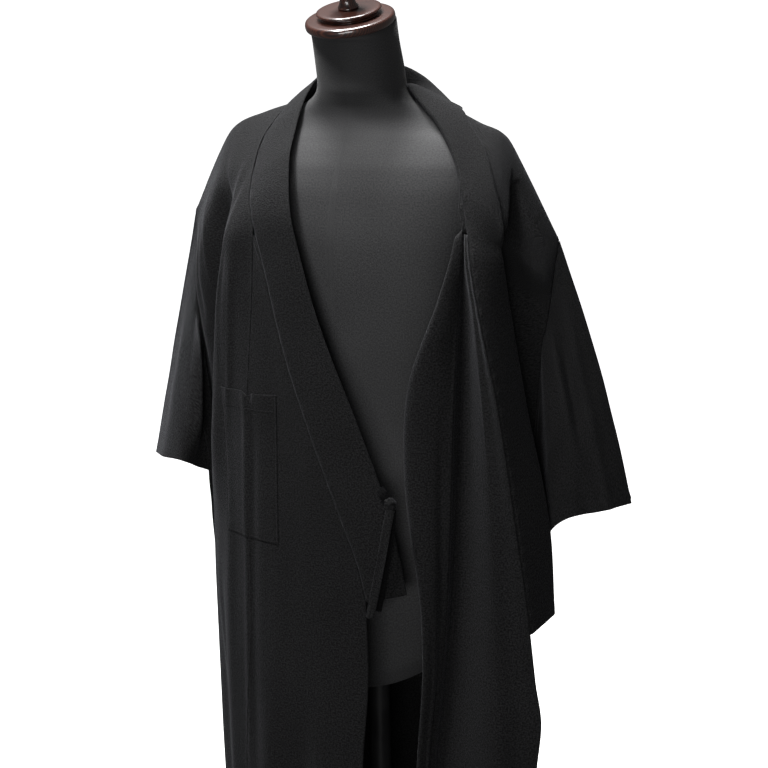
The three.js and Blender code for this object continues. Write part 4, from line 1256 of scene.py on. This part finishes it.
def tie_strip(name):
    """A flat folded strip of the tie along its own curve, a little thicker at its sewn edges."""
    points = [np.array(place, float) for place in TIE_PIECES[name]]
    shares = np.linspace(0, 1, 60)
    line = spline([np.broadcast_to(place, (60, 3)) for place in points], shares)
    first, last = TIE_TURN[name]
    turn = np.radians(mix(first, last, shares))
    forward = unit(np.gradient(line, axis=0))
    level = point(np.cos(turn), 0.35 * np.sin(turn), 0.9 * np.sin(turn))
    across = unit(level - forward * (level * forward).sum(-1, keepdims=True))
    u = np.linspace(-0.5, 0.5, 15)
    curl = 0.9 * (u[:, None] ** 2 * 4) * np.sin(shares * 7 + 1)[None, :]
    outward = unit(np.cross(across, forward))
    grid = line + across * (u[:, None, None] * TIE["width"]) + outward * curl[..., None]
    edge = (0.5 - np.abs(u))[:, None] * TIE["width"]
    thick = TIE["thick"] - 0.7 * bump(edge, 0.8) - 0.5 * bump(edge - 1.6, 0.5)
    # The bar and the back tail take the darker crepe copy: painted shade for where they lie in shadow.
    return cloth_piece(name, grid, thick, material=CREPE if name == "tie_tail_front" else CREPE_PAINTED_SHADE)


def tie_knot():
    """A small flat knot: the wrap of the strip over its own ends."""
    turns, rises = np.linspace(0, 2 * math.pi, 65)[:-1], np.linspace(0.02, math.pi - 0.02, 41)
    t, r = np.meshgrid(turns, rises, indexing="ij")

    def rounded(value):
        return np.sign(value) * np.abs(value) ** 0.75

    shape = point(rounded(np.cos(t)) * rounded(np.sin(r)), rounded(np.sin(t)) * rounded(np.sin(r)),
                  rounded(np.cos(r)))
    slant = shape[..., 2] * 0.8 + shape[..., 0] * 0.6
    wraps = 0.09 * np.cos(slant * 8.5) - 0.10 * bump(slant - 0.05, 0.07) - 0.08 * bump(slant + 0.75, 0.06)
    size = np.array([KNOT["width"], KNOT["depth"], KNOT["height"]]) / 2
    grid = shape * (1 + wraps)[..., None] * size + np.array([KNOT["x"], KNOT["y"], KNOT["z"]])
    return keep(ring_solid("tie_knot_cloth", grid, CREPE, (t * 3, r * 5)), "cloth", "tie_knot")


# ---- The dress form and its stand ----

def torso_ring(z, scale, lift):
    """The torso's outline from above at a height. lift raises each point by its place."""
    half, front, back, power = (read(TORSO, name, z) for name in list(TORSO)[1:])
    turn = np.linspace(0, 2 * math.pi, 193)[:-1]

    def rounded(value):
        return np.sign(value) * np.abs(value) ** (2 / power)

    x = half * scale * rounded(np.sin(turn))
    y = (back - front) / 2 - (back + front) / 2 * scale * rounded(np.cos(turn))
    return point(x, y, z + lift(x, y))


def form():
    """The covered torso, from its arched bottom edge to the slanted top of its neck."""
    rings = []
    for scale in (0.02, 0.2, 0.4, 0.6, 0.75, 0.86, 0.93):
        rings.append(torso_ring(TORSO_BOTTOM, scale, lambda x, y: LEG_ARCH * x * x))
    levels = (TORSO_BOTTOM, 740, 9), (746, 1360, 90), (1364, 1540, 70)
    for z in np.concatenate([np.linspace(*each) for each in levels]):
        arch = LEG_ARCH * (1 - smooth(z, TORSO_BOTTOM, 950))
        tuck = 1 - 0.04 * (1 - smooth(z, TORSO_BOTTOM - 6, 738))
        rings.append(torso_ring(z, tuck, lambda x, y: arch * x * x))
    slope = math.tan(math.radians(NECK["lean"]))
    rim = torso_ring(NECK["z"], 1, lambda x, y: (y - NECK["y"]) * slope)
    centre = np.array([0, NECK["y"], NECK["z"]])
    rings += [centre + (rim - centre) * scale for scale in (1, 0.97, 0.6, 0.0194)]
    return ring_solid("form_cover", np.stack(rings, 1), KNIT)


def rounded_profile(profile, times=3):
    """A profile with its corners cut round, keeping both ends."""
    points = np.array(profile, float)
    for _ in range(times):
        before, after = points[:-1], points[1:]
        cut = np.stack([0.75 * before + 0.25 * after, 0.25 * before + 0.75 * after], 1).reshape(-1, 2)
        points = np.concatenate([points[:1], cut[1:-1], points[-1:]])
    return points


def turned(name, profile, material, segments=128, place=None):
    """A turned solid. place is a turning and a shift of it."""
    points = rounded_profile(profile)
    points[:, 0] = np.maximum(points[:, 0], 0.3)
    turn = np.linspace(0, 2 * math.pi, segments + 1)[:-1]
    x, y = np.outer(np.cos(turn), points[:, 0]), np.outer(np.sin(turn), points[:, 0])
    grid = np.stack([x, y, np.broadcast_to(points[:, 1], x.shape)], -1)
    if place is not None:
        grid = grid @ place[0].T + place[1]
    return ring_solid(name, grid, material)


def cap_pieces():
    """The neck cap: a disc, a tier and a knob, one on another, leaning with the neck."""
    turning = np.array(Matrix.Rotation(math.radians(NECK["lean"]), 3, "X"))
    foot = np.array([0, NECK["y"], NECK["z"] + GAP])
    rise = 0.0
    for name, profile in (("cap_disc", CAP_DISC), ("cap_tier", CAP_TIER), ("cap_knob", CAP_KNOB)):
        place = (turning, foot + turning @ np.array([0, 0, rise]))
        keep(turned(name + "_wood", profile, WOOD, place=place), "wood", name)
        rise += profile[-1][1] + GAP


def stand_pieces():
    """The round base and the pole in it, as high as the frame's."""
    keep(turned("base_plate", BASE_PLATE, PAINT, 160), "stand_metal", "base")
    low, high = (corner.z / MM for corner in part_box("pole"))
    inner = POLE_RADIUS - POLE_BEVEL
    lower = [(0, low), (inner, low), (POLE_RADIUS, low + POLE_BEVEL), (POLE_RADIUS, low + 60)]
    upper = [(POLE_RADIUS, high - 60), (POLE_RADIUS, high - POLE_BEVEL), (inner, high), (0, high)]
    keep(turned("pole_tube", lower + upper, PAINT, 64), "stand_metal", "pole")


keep(form(), "form_cover", "form_torso")
cap_pieces()
stand_pieces()
body_panel(RIGHT)
body_panel(LEFT)
okumi_right, okumi_left = overlap_panel(RIGHT), overlap_panel(LEFT)
collar_right, collar_left = collar(RIGHT), collar(LEFT)
sleeve_right, sleeve_left = sleeve(RIGHT), sleeve(LEFT)
pocket_piece = pocket()
tie = {name: tie_strip(name) for name in TIE_PIECES}
knot = tie_knot()

# ---- Studio ----

AMBIENT = 0.1
# Name, place and aim in metres, side in metres and power in watts.
LIGHTS = [
    ("key", (-0.6, -1.1, 3.5), (0.0, 0.0, 1.2), 0.5, 80),
    ("top", (-0.35, 0.2, 3.2), (0.0, 0.0, 1.3), 0.7, 95),
    ("fill", (0.9, -2.9, 1.2), (0.0, 0.0, 1.0), 1.0, 20),
    ("low", (0.0, -3.0, 0.7), (0.0, 0.0, 0.7), 0.8, 10),
]


def area_light(name, place, aim, size, power):
    data = bpy.data.lights.new(name, "AREA")
    data.shape, data.size, data.energy = "SQUARE", size, power
    made = bpy.data.objects.new(name, data)
    made.location = place
    made.rotation_mode = "QUATERNION"
    made.rotation_quaternion = (Vector(place) - Vector(aim)).to_track_quat("Z", "Y")
    made.visible_camera = False
    bpy.context.scene.collection.objects.link(made)


def emissive(name, strength):
    look = Look(name, Roughness=0.9, Emission_Color=(1, 1, 1, 1), Emission_Strength=strength)
    look.drive(Base_Color=look.ramp(look.noise(look.object_place(), 3), (0.3, 0.93), (0.7, 0.95)))
    return look.material


def studio():
    """A pale floor under soft light from above, in a white room that the lights don't pick up."""
    world = bpy.data.worlds.new("studio")
    world.use_nodes = True
    background = world.node_tree.nodes["Background"]
    background.inputs["Color"].default_value = (1, 1, 1, 1)
    background.inputs["Strength"].default_value = AMBIENT
    bpy.context.scene.world = world
    bpy.context.scene.view_settings.view_transform = "Standard"
    bpy.ops.mesh.primitive_grid_add(x_subdivisions=2, y_subdivisions=2, size=60, location=(0, 0, 0))
    floor = bpy.context.object
    floor.name = "floor"
    floor.data.materials.append(emissive("pale_floor", 1.1))
    bpy.ops.mesh.primitive_uv_sphere_add(segments=48, ring_count=24, radius=29)
    room = bpy.context.object
    room.name = "white_room"
    room.data.materials.append(emissive("room_white", 1.05))
    for stage in (floor, room):
        stage.visible_diffuse = False
        stage.visible_glossy = False
        stage.visible_shadow = False
    for light in LIGHTS:
        area_light(*light)


studio()
